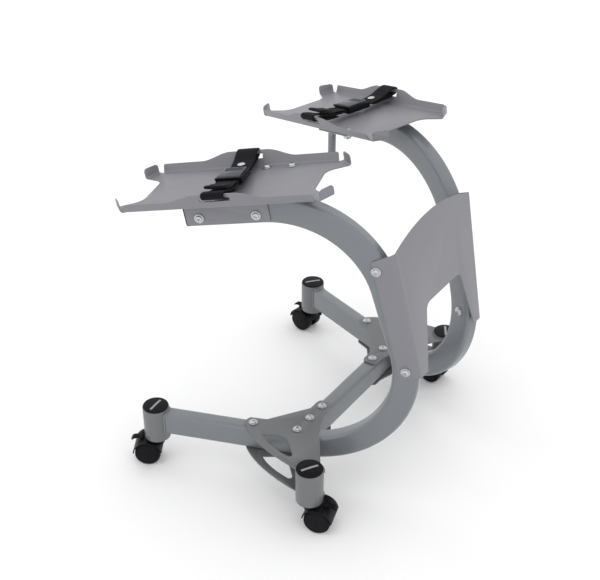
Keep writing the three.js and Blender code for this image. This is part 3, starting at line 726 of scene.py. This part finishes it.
def folded_panel():
    """Sheet with an arched top, a notch below and a folded flange along each side tube."""
    p = sizes()
    face = mm(p.tube_width) / 2 + GAP + mm(p.sheet)
    top, low = SIDE @ Vector((face, *FOLD_HIGH)), SIDE @ Vector((face, *FOLD_LOW))
    here = axes((1, 0, 0), (0, top.y - low.y, top.z - low.z), (0, low.y, low.z))
    back = here.inverted()
    height = (back @ top).y
    bm = bmesh.new()
    face_of(bm, [
        (91, 0, 0), (low.x, 0, 0), (top.x, height, 0), (-top.x, height, 0), (-low.x, 0, 0), (-91, 0, 0),
        (-63, NOTCH_HEIGHT, 0), (63, NOTCH_HEIGHT, 0),
    ])
    ends = {round(low.x, 2), round(top.x, 2)}
    for edge in [e for e in bm.edges if {round(abs(v.co.x), 2) for v in e.verts} == ends]:
        sign = 1 if edge.verts[0].co.x > 0 else -1
        made = bmesh.ops.extrude_edge_only(bm, edges=[edge])["geom"]
        for v in verts_in(made):
            spot = back @ (SIDE @ Vector((face, *(FLANGE_HIGH if v.co.y > 50 else FLANGE_LOW))))
            v.co = (sign * spot.x, spot.y, spot.z)
    notch = [v for v in bm.verts if abs(v.co.y - NOTCH_HEIGHT) < 0.5]
    outer = [v for v in bm.verts if v.co.z > 5]
    round_corners(bm, notch, 12)
    round_corners(bm, [v for v in outer if v.is_valid], 5)
    bevel_folds(bm, mm(p.panel_fold), 7)

    def on_crest(v):
        return abs(v.co.y - height) < 0.2 and abs(v.co.z) < 0.2

    crest = [e for e in bm.edges if e.is_boundary and all(on_crest(v) for v in e.verts)]
    bmesh.ops.subdivide_edges(bm, edges=crest, cuts=31)
    arch = [v for v in bm.verts if on_crest(v)]
    half = max(v.co.x for v in arch)
    for v in arch:
        v.co.y += CREST_RISE * (1 - (v.co.x / half) ** 2)
    return facing(bm, -1), here


class STAND_OT_panel(bpy.types.Operator):
    """Model the folded rear panel"""

    bl_idname = "stand.panel"
    bl_label = "Rear Panel"

    def execute(self, context):
        p = sizes()
        bm, here = folded_panel()
        piece(
            "folded_panel", bm, here, "sheet", "sheet_paint",
            nodes=("rear_panel",), sheet=p.sheet, edge=p.edge,
        )
        return {"FINISHED"}


# ---------------------------------------------------------------- trays
FLANGE_LEAN = math.radians(22)
FLANGE_END = 15  # length of the side flanges up their slope, at their low ends
TRAY_HALF = 88  # half the floor's width
HUMP_HALF, HUMP_SLOPE, HUMP_RISE, HUMP_STEPS = 88, 54, 13, 24
SLOT_LOW, SLOT_HIGH, SLOT_HALF = 13, 21, 25.6
LIP_CORNER_X, LIP_HEIGHT = 63.3, 16.6


def flange_up(sign):
    """The direction up a side flange, on the side that the sign gives."""
    return Vector((sign * math.sin(FLANGE_LEAN), 0, math.cos(FLANGE_LEAN)))


def hump(y):
    """Height of the side flange above its low ends."""
    t = min(1, max(0, (HUMP_HALF - abs(y)) / HUMP_SLOPE))
    return HUMP_RISE * t * t * (3 - 2 * t)


def tray():
    """Pan with open ends: a flat floor, humped and slotted side flanges and four turned-up lips."""
    p = sizes()
    bm = bmesh.new()
    quarter = [(TRAY_HALF, 161.7), (TRAY_HALF, 170.7), (LIP_CORNER_X, 187.1), (62, 183.5), (44, 149.5)]
    upper = quarter + [(-x, y) for x, y in reversed(quarter)]
    outline = upper + [(-x, -y) for x, y in upper]
    face_of(bm, [(x, y, 0) for x, y in outline])
    round_corners(bm, [v for v in bm.verts if abs(v.co.x) < 50], 14, 6)
    sides, ends = [], []
    for e in bm.edges:
        (x1, y1, _), (x2, y2, _) = (v.co for v in e.verts)
        if abs(abs(x1) - TRAY_HALF) < 0.1 and abs(abs(x2) - TRAY_HALF) < 0.1 and abs(y1 - y2) > 100:
            sides.append(e)
        elif {round(abs(x1), 1), round(abs(x2), 1)} == {TRAY_HALF, LIP_CORNER_X}:
            ends.append(e)
    for e in sides:
        pushed(bm, [e], FLANGE_END * flange_up(math.copysign(1, e.verts[0].co.x)))
    for e in ends:
        pushed(bm, [e], (0, 0, LIP_HEIGHT))
    # the lips' upper corners, then the flanges'
    round_corners(bm, [v for v in bm.verts if v.co.z > 16], 6)
    round_corners(bm, [v for v in bm.verts if 13 < v.co.z < 15], 4, 4)
    bevel_folds(bm, mm(p.fold), 5)
    for i in range(-HUMP_STEPS, HUMP_STEPS + 1):
        cut(bm, (0, HUMP_HALF / HUMP_STEPS * i, 0), (0, 1, 0))
    for v in bm.verts:
        if v.co.z > 13.5 and abs(v.co.y) < HUMP_HALF:
            v.co += hump(v.co.y) * flange_up(math.copysign(1, v.co.x))
    for sign in (1, -1):
        up = flange_up(sign)
        for level in (SLOT_LOW, SLOT_HIGH):
            near = [f for f in bm.faces if sign * f.calc_center_median().x > 85]
            geom = near + list({e for f in near for e in f.edges}) + list({v for f in near for v in f.verts})
            point = Vector((sign * TRAY_HALF, 0, 0)) + level * up
            bmesh.ops.bisect_plane(bm, geom=geom, plane_co=point, plane_no=up)
    slot = []
    for f in bm.faces:
        c = f.calc_center_median()
        sign = math.copysign(1, c.x)
        level = (c - Vector((sign * TRAY_HALF, 0, 0))).dot(flange_up(sign))
        if abs(c.x) > 86 and SLOT_LOW < level < SLOT_HIGH and abs(c.y) < SLOT_HALF:
            slot.append(f)
    bmesh.ops.delete(bm, geom=slot, context="FACES")
    return facing(bm, 1)


POST_X, POST_Y, POST_FOOT_REAR_SCREW_Y = -76, 36, 81.5


def hanging_post():
    """Foot plate under the tray, with a round post that hangs straight down from it."""
    foot = block((POST_X - 11, 8, -5.3), (POST_X + 11, 90, -2.3), 0.8)
    foot.transform(PAN)
    top = PAN @ Vector((POST_X, POST_Y, -3.8))
    post = lathe([(0, -75), (4.5, -75), (5.6, -74.6), (6.9, -73.4), (7.5, -72), (7.5, 0), (0, 0)], 40)
    return add_shape(foot, post, at(*top))


class STAND_OT_trays(bpy.types.Operator):
    """Model the two trays, the saddles that hold them and the posts under them"""

    bl_idname = "stand.trays"
    bl_label = "Trays"

    def execute(self, context):
        p = sizes()
        both_sides("pan", tray(), PAN, "sheet", "sheet_paint", "tray", sheet=p.sheet, edge=p.edge, smooth=30)
        both_sides("hanging_post", hanging_post(), Matrix.Identity(4), "tube", "tube_paint", "tray_post")
        for side, _ in SIDES:
            refined(f"saddle_{side}", f"tray_bracket_{side}", "sheet", "sheet_paint", 0.0009)
        return {"FINISHED"}


# ---------------------------------------------------------------- straps
# (x, height over the tray's floor) along half of each strap, and along its loose tail
STRAP_HALF = [
    (42, 10.2), (50, 10.4), (58, 10.6), (65, 11.1), (72, 11.8), (78, 12.5), (84, 13.4), (92, 15.2),
    (98, 16.4), (102.4, 18.6), (104.2, 22), (104.0, 25.6), (101.6, 28.2), (95, 28), (84, 24.4), (78, 21.8),
    (72, 19.4), (65, 17.5), (58, 16), (50, 15), (44, 14.4), (28, 14.2), (12, 14.2),
]
STRAP_TAIL = [
    (21, 16.8), (28, 17.8), (36, 19.6), (44, 20.4), (52, 20.2), (60, 20.8), (68, 23.0), (76, 26.4),
    (82, 28.8), (86, 31.2), (84.5, 33.2), (78, 32.2), (70, 29.0), (62, 26.4), (54, 25.8),
]
RIVET_X = -52


def webbing(line, width, wave=0.0):
    """A flat band along a line of (x, z) points, with its own map."""
    bm = bmesh.new()
    row = [bm.verts.new((line[0][0], width * (i / 6 - 0.5), line[0][1])) for i in range(7)]
    edges = [bm.edges.new(pair) for pair in zip(row, row[1:])]
    for (x0, z0), (x1, z1) in zip(line, line[1:]):
        edges = pushed(bm, edges, (x1 - x0, 0, z1 - z0))
    for v in bm.verts:
        v.co.z += wave * math.sin(v.co.x * 0.11 + v.co.y * 0.07)
    own_map(bm)
    bmesh.ops.recalc_face_normals(bm, faces=bm.faces)
    return bm


def stitching():
    """Short threads in two rows beside the rivet, across the strap's folded end."""
    bm = bmesh.new()
    for x, z in ((-61, 17.7), (-65, 18.6)):
        for i in range(-6, 7):
            y = i * 2.8
            add_shape(bm, block((x - 0.35, y - 0.9, z - 0.2), (x + 0.35, y + 0.9, z + 0.35), 0.25, 1))
    return bm


class STAND_OT_straps(bpy.types.Operator):
    """Model the webbing straps with their folded ends, loose tails, stitching and rivets"""

    bl_idname = "stand.straps"
    bl_label = "Straps"

    def execute(self, context):
        p = sizes()
        loop = STRAP_HALF + [(-x, z) for x, z in reversed(STRAP_HALF)]
        bands = on_trays(
            "webbing", webbing(loop, mm(p.strap_width)), "webbing", "webbing", "strap",
            smooth=60, sheet=p.strap_thickness, side=0,
        )
        bands += on_trays(
            "strap_tail", webbing(STRAP_TAIL, mm(p.strap_width) - 2, 0.35), "webbing", "webbing",
            smooth=60, sheet=p.strap_thickness * 0.8, side=0,
        )
        for made in bands:
            soft = made.modifiers.new("Soften", "SUBSURF")
            soft.levels = soft.render_levels = 1
        on_trays("stitching", stitching(), "thread", "webbing")
        rivet = lathe([
            (0, 7), (5.6, 7), (6, 7.6), (6, 8.3), (2.4, 8.4), (2.4, 17.8), (7, 17.8), (7, 18.2), (6.2, 19),
            (4.4, 19.6), (3.2, 19.5), (2.6, 18.9), (0, 18.7),
        ], 36)
        rivet.transform(at(RIVET_X, 0, 0))
        on_trays("rivet", rivet, "rivet", "zinc", "strap_rivet")
        return {"FINISHED"}


# ---------------------------------------------------------------- buckles
def buckle_frame():
    """Channel for the strap: a base, two rounded cheeks and a thick two-lipped mouth at the outer end."""
    side = [(-29, 0, 9.6), (21, 0, 9.6), (21, 0, 22.2), (-29, 0, 19.7)]
    cheek = prism(side, (0, 2.4, 0), 3.2, 0.5)
    other = cheek.copy()
    cheek.transform(at(0, -23, 0))
    other.transform(at(0, 20.6, 0))
    base = block((-29, -23, 9.6), (21, 23, 11.2), 0.5)
    lower = block((17, -23, 9.6), (23.6, 23, 12.3), 0.7)
    upper = block((20, -23, 19), (23.6, 23, 23.4), 0.9)
    rib = block((23.2, -20, 20.6), (24.2, 20, 21.7), 0.3)
    return merged(base, cheek, other, lower, upper, rib)


def buckle_lever():
    """Cam lever: a thin bowed plate with a grooved grip, on a round barrel with its pin."""
    bm = prism(
        [(-25, -19.6, 21.1), (17, -19.6, 21.1), (17, 19.6, 21.1), (-25, 19.6, 21.1)], (0, 0, 2.5), 2.5, 0.6, 4
    )
    turn = axes((0, 0, 1), (1, 0, 0), (15, 0, 19.6))
    barrel = lathe([(0, -19.8), (3.4, -19.8), (4, -19.2), (4, 19.2), (3.4, 19.8), (0, 19.8)], 32)
    pin = lathe([(0, -22.6), (1.7, -22.6), (2, -22.3), (2, 22.3), (1.7, 22.6), (0, 22.6)], 24)
    add_shape(bm, barrel, turn)
    add_shape(bm, pin, turn)
    for i in range(4):
        add_shape(bm, block((-22 + 3.2 * i, -16, 23.2), (-20.4 + 3.2 * i, 16, 24.2), 0.35))
    return bm


class STAND_OT_buckles(bpy.types.Operator):
    """Model the strap buckles and their hinged levers"""

    bl_idname = "stand.buckles"
    bl_label = "Buckles"

    def execute(self, context):
        on_trays("buckle_frame", buckle_frame(), "buckle", "buckle_plastic", "buckle_body")
        on_trays("cam_lever", buckle_lever(), "lever", "lever_plastic", "buckle_lever", moves=True)
        return {"FINISHED"}


# ---------------------------------------------------------------- casters
AXLE_X, AXLE_Z = 20.0, 25.0
HOOD_RADIUS = 28.7
ABOUT_AXLE = axes((1, 0, 0), (0, 0, 1), (AXLE_X, 0, AXLE_Z))


def caster_hood():
    """Fender over both wheels, the web between them, the stem's boss and the brake's ears."""
    start, sweep = math.radians(8), math.radians(160)
    bm = bmesh.new()
    rim = [
        (26.4, -24.9), (28.1, -25), (HOOD_RADIUS, -24.3), (HOOD_RADIUS, 24.3), (28.1, 25), (26.4, 24.9),
    ]
    loop = [bm.verts.new((r * math.cos(start), r * math.sin(start), h)) for r, h in rim]
    end = bm.faces.new(loop)
    bmesh.ops.spin(
        bm, geom=[end, *end.edges, *end.verts], cent=(0, 0, 0), axis=(0, 0, 1), angle=sweep, steps=40
    )
    if end.is_valid and not all(len(e.link_faces) == 2 for e in end.edges):
        close_holes(bm)
    outward(bm)
    web = bmesh.new()
    bmesh.ops.create_cone(web, cap_ends=True, segments=72, radius1=27.4, radius2=27.4, depth=12.4)
    for a, b in ((8, -20), (172, 200)):
        p1 = HOOD_RADIUS * Vector((math.cos(math.radians(a)), math.sin(math.radians(a)), 0))
        p2 = 9.0 * Vector((math.cos(math.radians(b)), math.sin(math.radians(b)), 0))
        normal = (p2 - p1).cross(Vector((0, 0, 1)))
        cut(web, p1, -normal if normal.dot(-p1) > 0 else normal, True)
        close_holes(web)
    cut(web, (0, -8.8, 0), (0, -1, 0), True)
    close_holes(web)
    outward(web)
    add_shape(bm, web)
    bm.transform(ABOUT_AXLE)
    bmesh.ops.recalc_face_normals(bm, faces=bm.faces)
    boss = lathe([
        (0, 40), (11.6, 40), (11.6, 51.5), (12.4, 52.5), (12.4, 54.5), (11, 55.6), (11, 57.2), (10.5, 57.7),
        (0, 57.7),
    ], 40)
    add_shape(bm, boss)
    for low, high in ((6.6, 8.8), (-8.8, -6.6)):
        outline = [(27.8, low, 48), (34.6, low, 48), (34.2, low, 57.6), (28.4, low, 57.6)]
        add_shape(bm, prism(outline, (0, high - low, 0), 2.4, 0.3))
    axle = lathe([(0, -21), (4, -21), (4, 21), (0, 21)], 24)
    return add_shape(bm, axle, ABOUT_AXLE)


def stem():
    return lathe([(0, 50), (5.5, 50), (5.5, 102), (4.6, 103.4), (3, 104), (0, 104)], 32)


def caster_wheel():
    """Wheel with a crowned tread, a hollow back and a ringed outer disc."""
    bm = lathe([
        (0, 15), (4.3, 15), (4.3, 0), (8, 0), (8.6, 2.4), (19.6, 2.4), (20.4, 0), (23.2, 0), (24.4, 0.7),
        (24.9, 2), (25, 6), (24.9, 13.6), (24.3, 15.6), (23.2, 16.7), (22.1, 16.9), (21.6, 16.3),
        (20.9, 16.3), (20.4, 16.9), (14, 17.6), (7.2, 17.9), (6.8, 17.5), (6.2, 17.5), (5.8, 17.9), (0, 18),
    ], 64)
    bm.transform(axes((1, 0, 0), (0, 0, -1), (AXLE_X, 6.5, AXLE_Z)))
    return bm


def brake_pedal():
    """Pressed-down lever with three grip ribs, on its pin."""
    bm = prism([
        (28.8, -5.9, 53.8), (47, -5.9, 50.2), (51, -5.9, 47.1), (53, -5.9, 48.6), (49, -5.9, 53.1),
        (31, -5.9, 56.8), (28.7, -5.9, 56.2),
    ], (0, 11.8, 0), 0.0, 0.5)
    for i in range(3):
        along, down = 3.6 * i, 0.75 * i
        add_shape(bm, block((38 + along, -4.6, 54.1 - down), (39.4 + along, 4.6, 56.1 - down), 0.4))
    pin = lathe([(0, -8.7), (1.4, -8.7), (1.4, 8.7), (0, 8.7)], 16)
    return add_shape(bm, pin, axes((1, 0, 0), (0, 0, 1), (31, 0, 54.6)))


class STAND_OT_casters(bpy.types.Operator):
    """Model the four twin-wheel casters with their brake levers"""

    bl_idname = "stand.casters"
    bl_label = "Casters"

    def execute(self, context):
        hood, wheel, pedal, post = caster_hood(), caster_wheel(), brake_pedal(), stem()
        other = wheel.copy()
        other.transform(Matrix.Scale(-1, 4, (0, 1, 0)))
        bmesh.ops.reverse_faces(other, faces=other.faces)
        for place, (x, y, heading) in CASTERS.items():
            here = at(x, y, 0) @ Matrix.Rotation(math.radians(heading), 4, "Z")
            body = f"caster_{place}"
            piece(
                f"fender_{place}", hood, here, "caster", "caster_plastic",
                body, (f"caster_hood_{place}",), smooth=30,
            )
            piece(f"stem_{place}", post, here, "zinc", "zinc", body)
            for letter, shape in (("a", wheel), ("b", other)):
                node = f"caster_wheel_{letter}_{place}"
                piece(
                    f"wheel_{letter}_{place}_disc", shape, here, "caster", "wheel_plastic",
                    f"wheel_{letter}_{place}", (node,), smooth=30,
                )
            node = f"brake_lever_{place}"
            piece(f"pedal_{place}", pedal, here, "caster", "caster_plastic", f"brake_{place}", (node,))
        return {"FINISHED"}


# ---------------------------------------------------------------- bolts
# along the side tubes, along the cross tube, (y, z) on the saddles, (along the side frame, z) on the panel
SIDE_BOLTS_S = (194, 279)
CROSS_BOLTS_X = (138, 95)
SADDLE_BOLTS = ((-106, -6), (-6, -6))
PANEL_BOLTS = ((416, 494), (475, 302))


def screw_head(shank):
    """Washer and pan head with a cross recess; the washer lies on z = 0."""
    bm = lathe([
        (0, -shank), (3.4, -shank), (4, -shank + 0.6), (4, 0), (8.1, 0), (8.4, 0.3), (8.4, 1.3), (8.1, 1.6),
        (6.2, 1.6), (6.2, 2.4), (5.9, 3.6), (5.1, 4.5), (3.8, 5.1), (2, 5.3), (0, 5.4),
    ], 40)
    mesh = bpy.data.meshes.new("head")
    bm.to_mesh(mesh)
    bm.free()
    head = bpy.data.objects.new("head", mesh)
    cross = merged(
        block((-3.3, -0.75, 3.2), (3.3, 0.75, 8), 0.2, 1),
        block((-0.75, -3.3, 3.21), (0.75, 3.3, 8.01), 0.2, 1),
    )
    cutter_mesh = bpy.data.meshes.new("cross")
    cross.to_mesh(cutter_mesh)
    cross.free()
    cutter = bpy.data.objects.new("cross", cutter_mesh)
    for made in (head, cutter):
        bpy.context.scene.collection.objects.link(made)
    cut = head.modifiers.new("Recess", "BOOLEAN")
    cut.operation, cut.object, cut.solver, cut.use_self = "DIFFERENCE", cutter, "EXACT", True
    bpy.context.view_layer.update()
    result = bpy.data.meshes.new_from_object(head.evaluated_get(bpy.context.evaluated_depsgraph_get()))
    made = bmesh.new()
    made.from_mesh(result)
    for old in (head, cutter):
        bpy.data.objects.remove(old)
    for old in (mesh, cutter_mesh, result):
        bpy.data.meshes.remove(old)
    return outward(made)


def nut(height=6.2):
    """Washer and hexagon nut under z = 0, with the end of the thread."""
    bm = bmesh.new()
    middle = at(0, 0, -1.6 - height / 2)
    bmesh.ops.create_cone(
        bm, cap_ends=True, segments=6, radius1=7.4, radius2=7.4, depth=height, matrix=middle
    )
    round_edges(bm, 0.5, 2, 20)
    washer = lathe([(4.1, 0), (8.6, 0), (8.9, -0.3), (8.9, -1.3), (8.6, -1.6), (4.1, -1.6), (4.1, 0)], 32)
    ridges = [(3.9 if i % 2 else 3.5, -1.6 - 0.4 * i) for i in range(17)]
    tail = lathe([(0, -1.6), *ridges, (3.2, -8.4), (0, -8.4)], 24)
    return merged(bm, washer, tail)


class STAND_OT_bolts(bpy.types.Operator):
    """Model the bolts, washers and nuts"""

    bl_idname = "stand.bolts"
    bl_label = "Bolts"

    def execute(self, context):
        heads = {n: screw_head(n) for n in (8, 12, 40)}
        spots = [SIDE @ Vector((0, s, 0)) for s in SIDE_BOLTS_S]
        spots += [Vector((x, CROSS_Y, 0)) for x in CROSS_BOLTS_X]
        for i, spot in enumerate(spots, 1):
            turn = Matrix.Rotation(0.7 * i, 4, "Z")
            over, under = at(spot.x, spot.y, PLATE_TOP) @ turn, at(spot.x, spot.y, PLATE_BOTTOM) @ turn
            both_sides(f"gusset_screw_{i}", heads[40], over, "zinc", "zinc", f"gusset_bolt_{i}")
            both_sides(f"gusset_nut_{i}", nut(), under, "zinc", "zinc")
        for i, (y, z) in enumerate(SADDLE_BOLTS, 1):
            turn = Matrix.Rotation(0.5 + i, 4, "Z")
            over = ARM @ axes((0, 0, -1), (0, 1, 0), (18.1, y, z)) @ turn
            under = ARM @ axes((0, 0, -1), (0, 1, 0), (-18.1, y, z)) @ turn
            both_sides(f"saddle_screw_{i}", heads[40], over, "zinc", "zinc", f"bracket_bolt_{i}")
            both_sides(f"saddle_nut_{i}", nut(), under, "zinc", "zinc")
        for i, (s, z) in enumerate(PANEL_BOLTS, 1):
            turn = Matrix.Rotation(0.4 + i, 4, "Z")
            over = SIDE @ axes((0, 0, -1), (0, 1, 0), (17.6, s, z)) @ turn
            under = SIDE @ axes((0, 0, -1), (0, 1, 0), (-15.3, s, z)) @ turn
            both_sides(f"panel_screw_{i}", heads[12], over, "zinc", "zinc")
            both_sides(f"panel_nut_{i}", heads[8], under @ Matrix.Rotation(math.pi, 4, "X"), "zinc", "zinc")
        for i, y in enumerate((POST_Y, POST_FOOT_REAR_SCREW_Y), 1):
            both_sides(f"foot_screw_{i}", heads[8], PAN @ at(POST_X, y, 0.2), "zinc", "zinc")
            both_sides(f"foot_nut_{i}", nut(5), PAN @ at(POST_X, y, -5.4), "zinc", "zinc")
        for head in heads.values():
            head.free()
        return {"FINISHED"}


# ---------------------------------------------------------------- stage
CAMERA_AZIMUTH, CAMERA_PITCH = math.radians(123.89), math.radians(31.76)
CAMERA_SPOT = (1.44596, FRONT.y * MM + 1.11183, 1.36874)


def area_light(name, spot, target, size, power):
    data = bpy.data.lights.new(name, "AREA")
    data.shape, data.size, data.energy = "SQUARE", size, power
    light = bpy.data.objects.new(name, data)
    light.location = spot
    light.rotation_euler = (Vector(target) - Vector(spot)).to_track_quat("-Z", "Y").to_euler()
    bpy.context.scene.collection.objects.link(light)


class STAND_OT_stage(bpy.types.Operator):
    """Make the plain floor, the soft lights and the camera"""

    bl_idname = "stand.stage"
    bl_label = "Stage"

    def execute(self, context):
        scene, p = context.scene, context.scene.stand_stage
        bm = bmesh.new()
        bmesh.ops.create_grid(bm, x_segments=1, y_segments=1, size=30)
        mesh = bpy.data.meshes.new("floor")
        bm.to_mesh(mesh)
        bm.free()
        floor = bpy.data.objects.new("floor", mesh)
        floor_finish = Finish("Plain floor", roughness=0.9)
        floor_finish.tint(floor_finish.noise(0.6, 1), p.floor, 0.99, 1.01)
        mesh.materials.append(floor_finish.material)
        scene.collection.objects.link(floor)

        world = scene.world or bpy.data.worlds.new("Studio")
        scene.world = world
        world.use_nodes = True
        world.node_tree.nodes["Background"].inputs["Color"].default_value = (1, 1, 1, 1)
        world.node_tree.nodes["Background"].inputs["Strength"].default_value = p.sky

        azimuth, pitch = CAMERA_AZIMUTH, CAMERA_PITCH
        back = Vector((
            math.sin(azimuth) * math.cos(pitch), -math.cos(azimuth) * math.cos(pitch), math.sin(pitch),
        ))
        right = Vector((math.cos(azimuth), math.sin(azimuth), 0))
        data = bpy.data.cameras.new("camera")
        data.sensor_width, data.lens = 36, p.lens
        data.shift_x, data.shift_y = 0.0054, 0.0037
        data.clip_start, data.clip_end = 0.05, 100
        camera = bpy.data.objects.new("camera", data)
        camera.matrix_world = Matrix.Translation(CAMERA_SPOT) @ Matrix(
            (right, back.cross(right), back)
        ).transposed().to_4x4()
        scene.collection.objects.link(camera)
        scene.camera = camera

        middle = Vector((0, 0, 0.35))
        ahead = Vector((-back.x, -back.y, 0)).normalized()
        key = middle + 0.7 * ahead - 1.1 * right + Vector((0, 0, 2.2))
        area_light("key", key, middle, 2.0, p.key)
        area_light("fill", middle + 2.4 * back - 0.4 * right + Vector((0, 0, 0.5)), middle, 2.4, p.key * 1.2)
        scene.view_settings.view_transform = "Standard"
        return {"FINISHED"}


# ---------------------------------------------------------------- panel and registration
PIECE_OPERATORS = (
    STAND_OT_tubes,
    STAND_OT_sockets,
    STAND_OT_gussets,
    STAND_OT_panel,
    STAND_OT_trays,
    STAND_OT_straps,
    STAND_OT_buckles,
    STAND_OT_casters,
    STAND_OT_bolts,
    STAND_OT_stage,
)


class STAND_PT_pieces(bpy.types.Panel):
    """Lists the stand's pieces, sizes and colours"""

    bl_label = "Dumbbell Stand"
    bl_idname = "STAND_PT_pieces"
    bl_space_type = "VIEW_3D"
    bl_region_type = "UI"
    bl_category = "Stand"

    def draw(self, context):
        for group in (context.scene.stand_sizes, context.scene.stand_colours, context.scene.stand_stage):
            rows = self.layout.box()
            for key in group.__annotations__:
                rows.prop(group, key)
        for operator in PIECE_OPERATORS:
            self.layout.operator(operator.bl_idname)


CLASSES = (StandSizes, StandColours, StageSettings, *PIECE_OPERATORS, STAND_PT_pieces)


def register():
    for each in CLASSES:
        bpy.utils.register_class(each)
    bpy.types.Scene.stand_sizes = PointerProperty(type=StandSizes)
    bpy.types.Scene.stand_colours = PointerProperty(type=StandColours)
    bpy.types.Scene.stand_stage = PointerProperty(type=StageSettings)


def unregister():
    del bpy.types.Scene.stand_stage, bpy.types.Scene.stand_colours, bpy.types.Scene.stand_sizes
    for each in reversed(CLASSES):
        bpy.utils.unregister_class(each)


def main():
    register()
    make_finishes()
    for operator in PIECE_OPERATORS:
        group, name = operator.bl_idname.split(".")
        getattr(getattr(bpy.ops, group), name)()


if __name__ == "__main__":
    main()
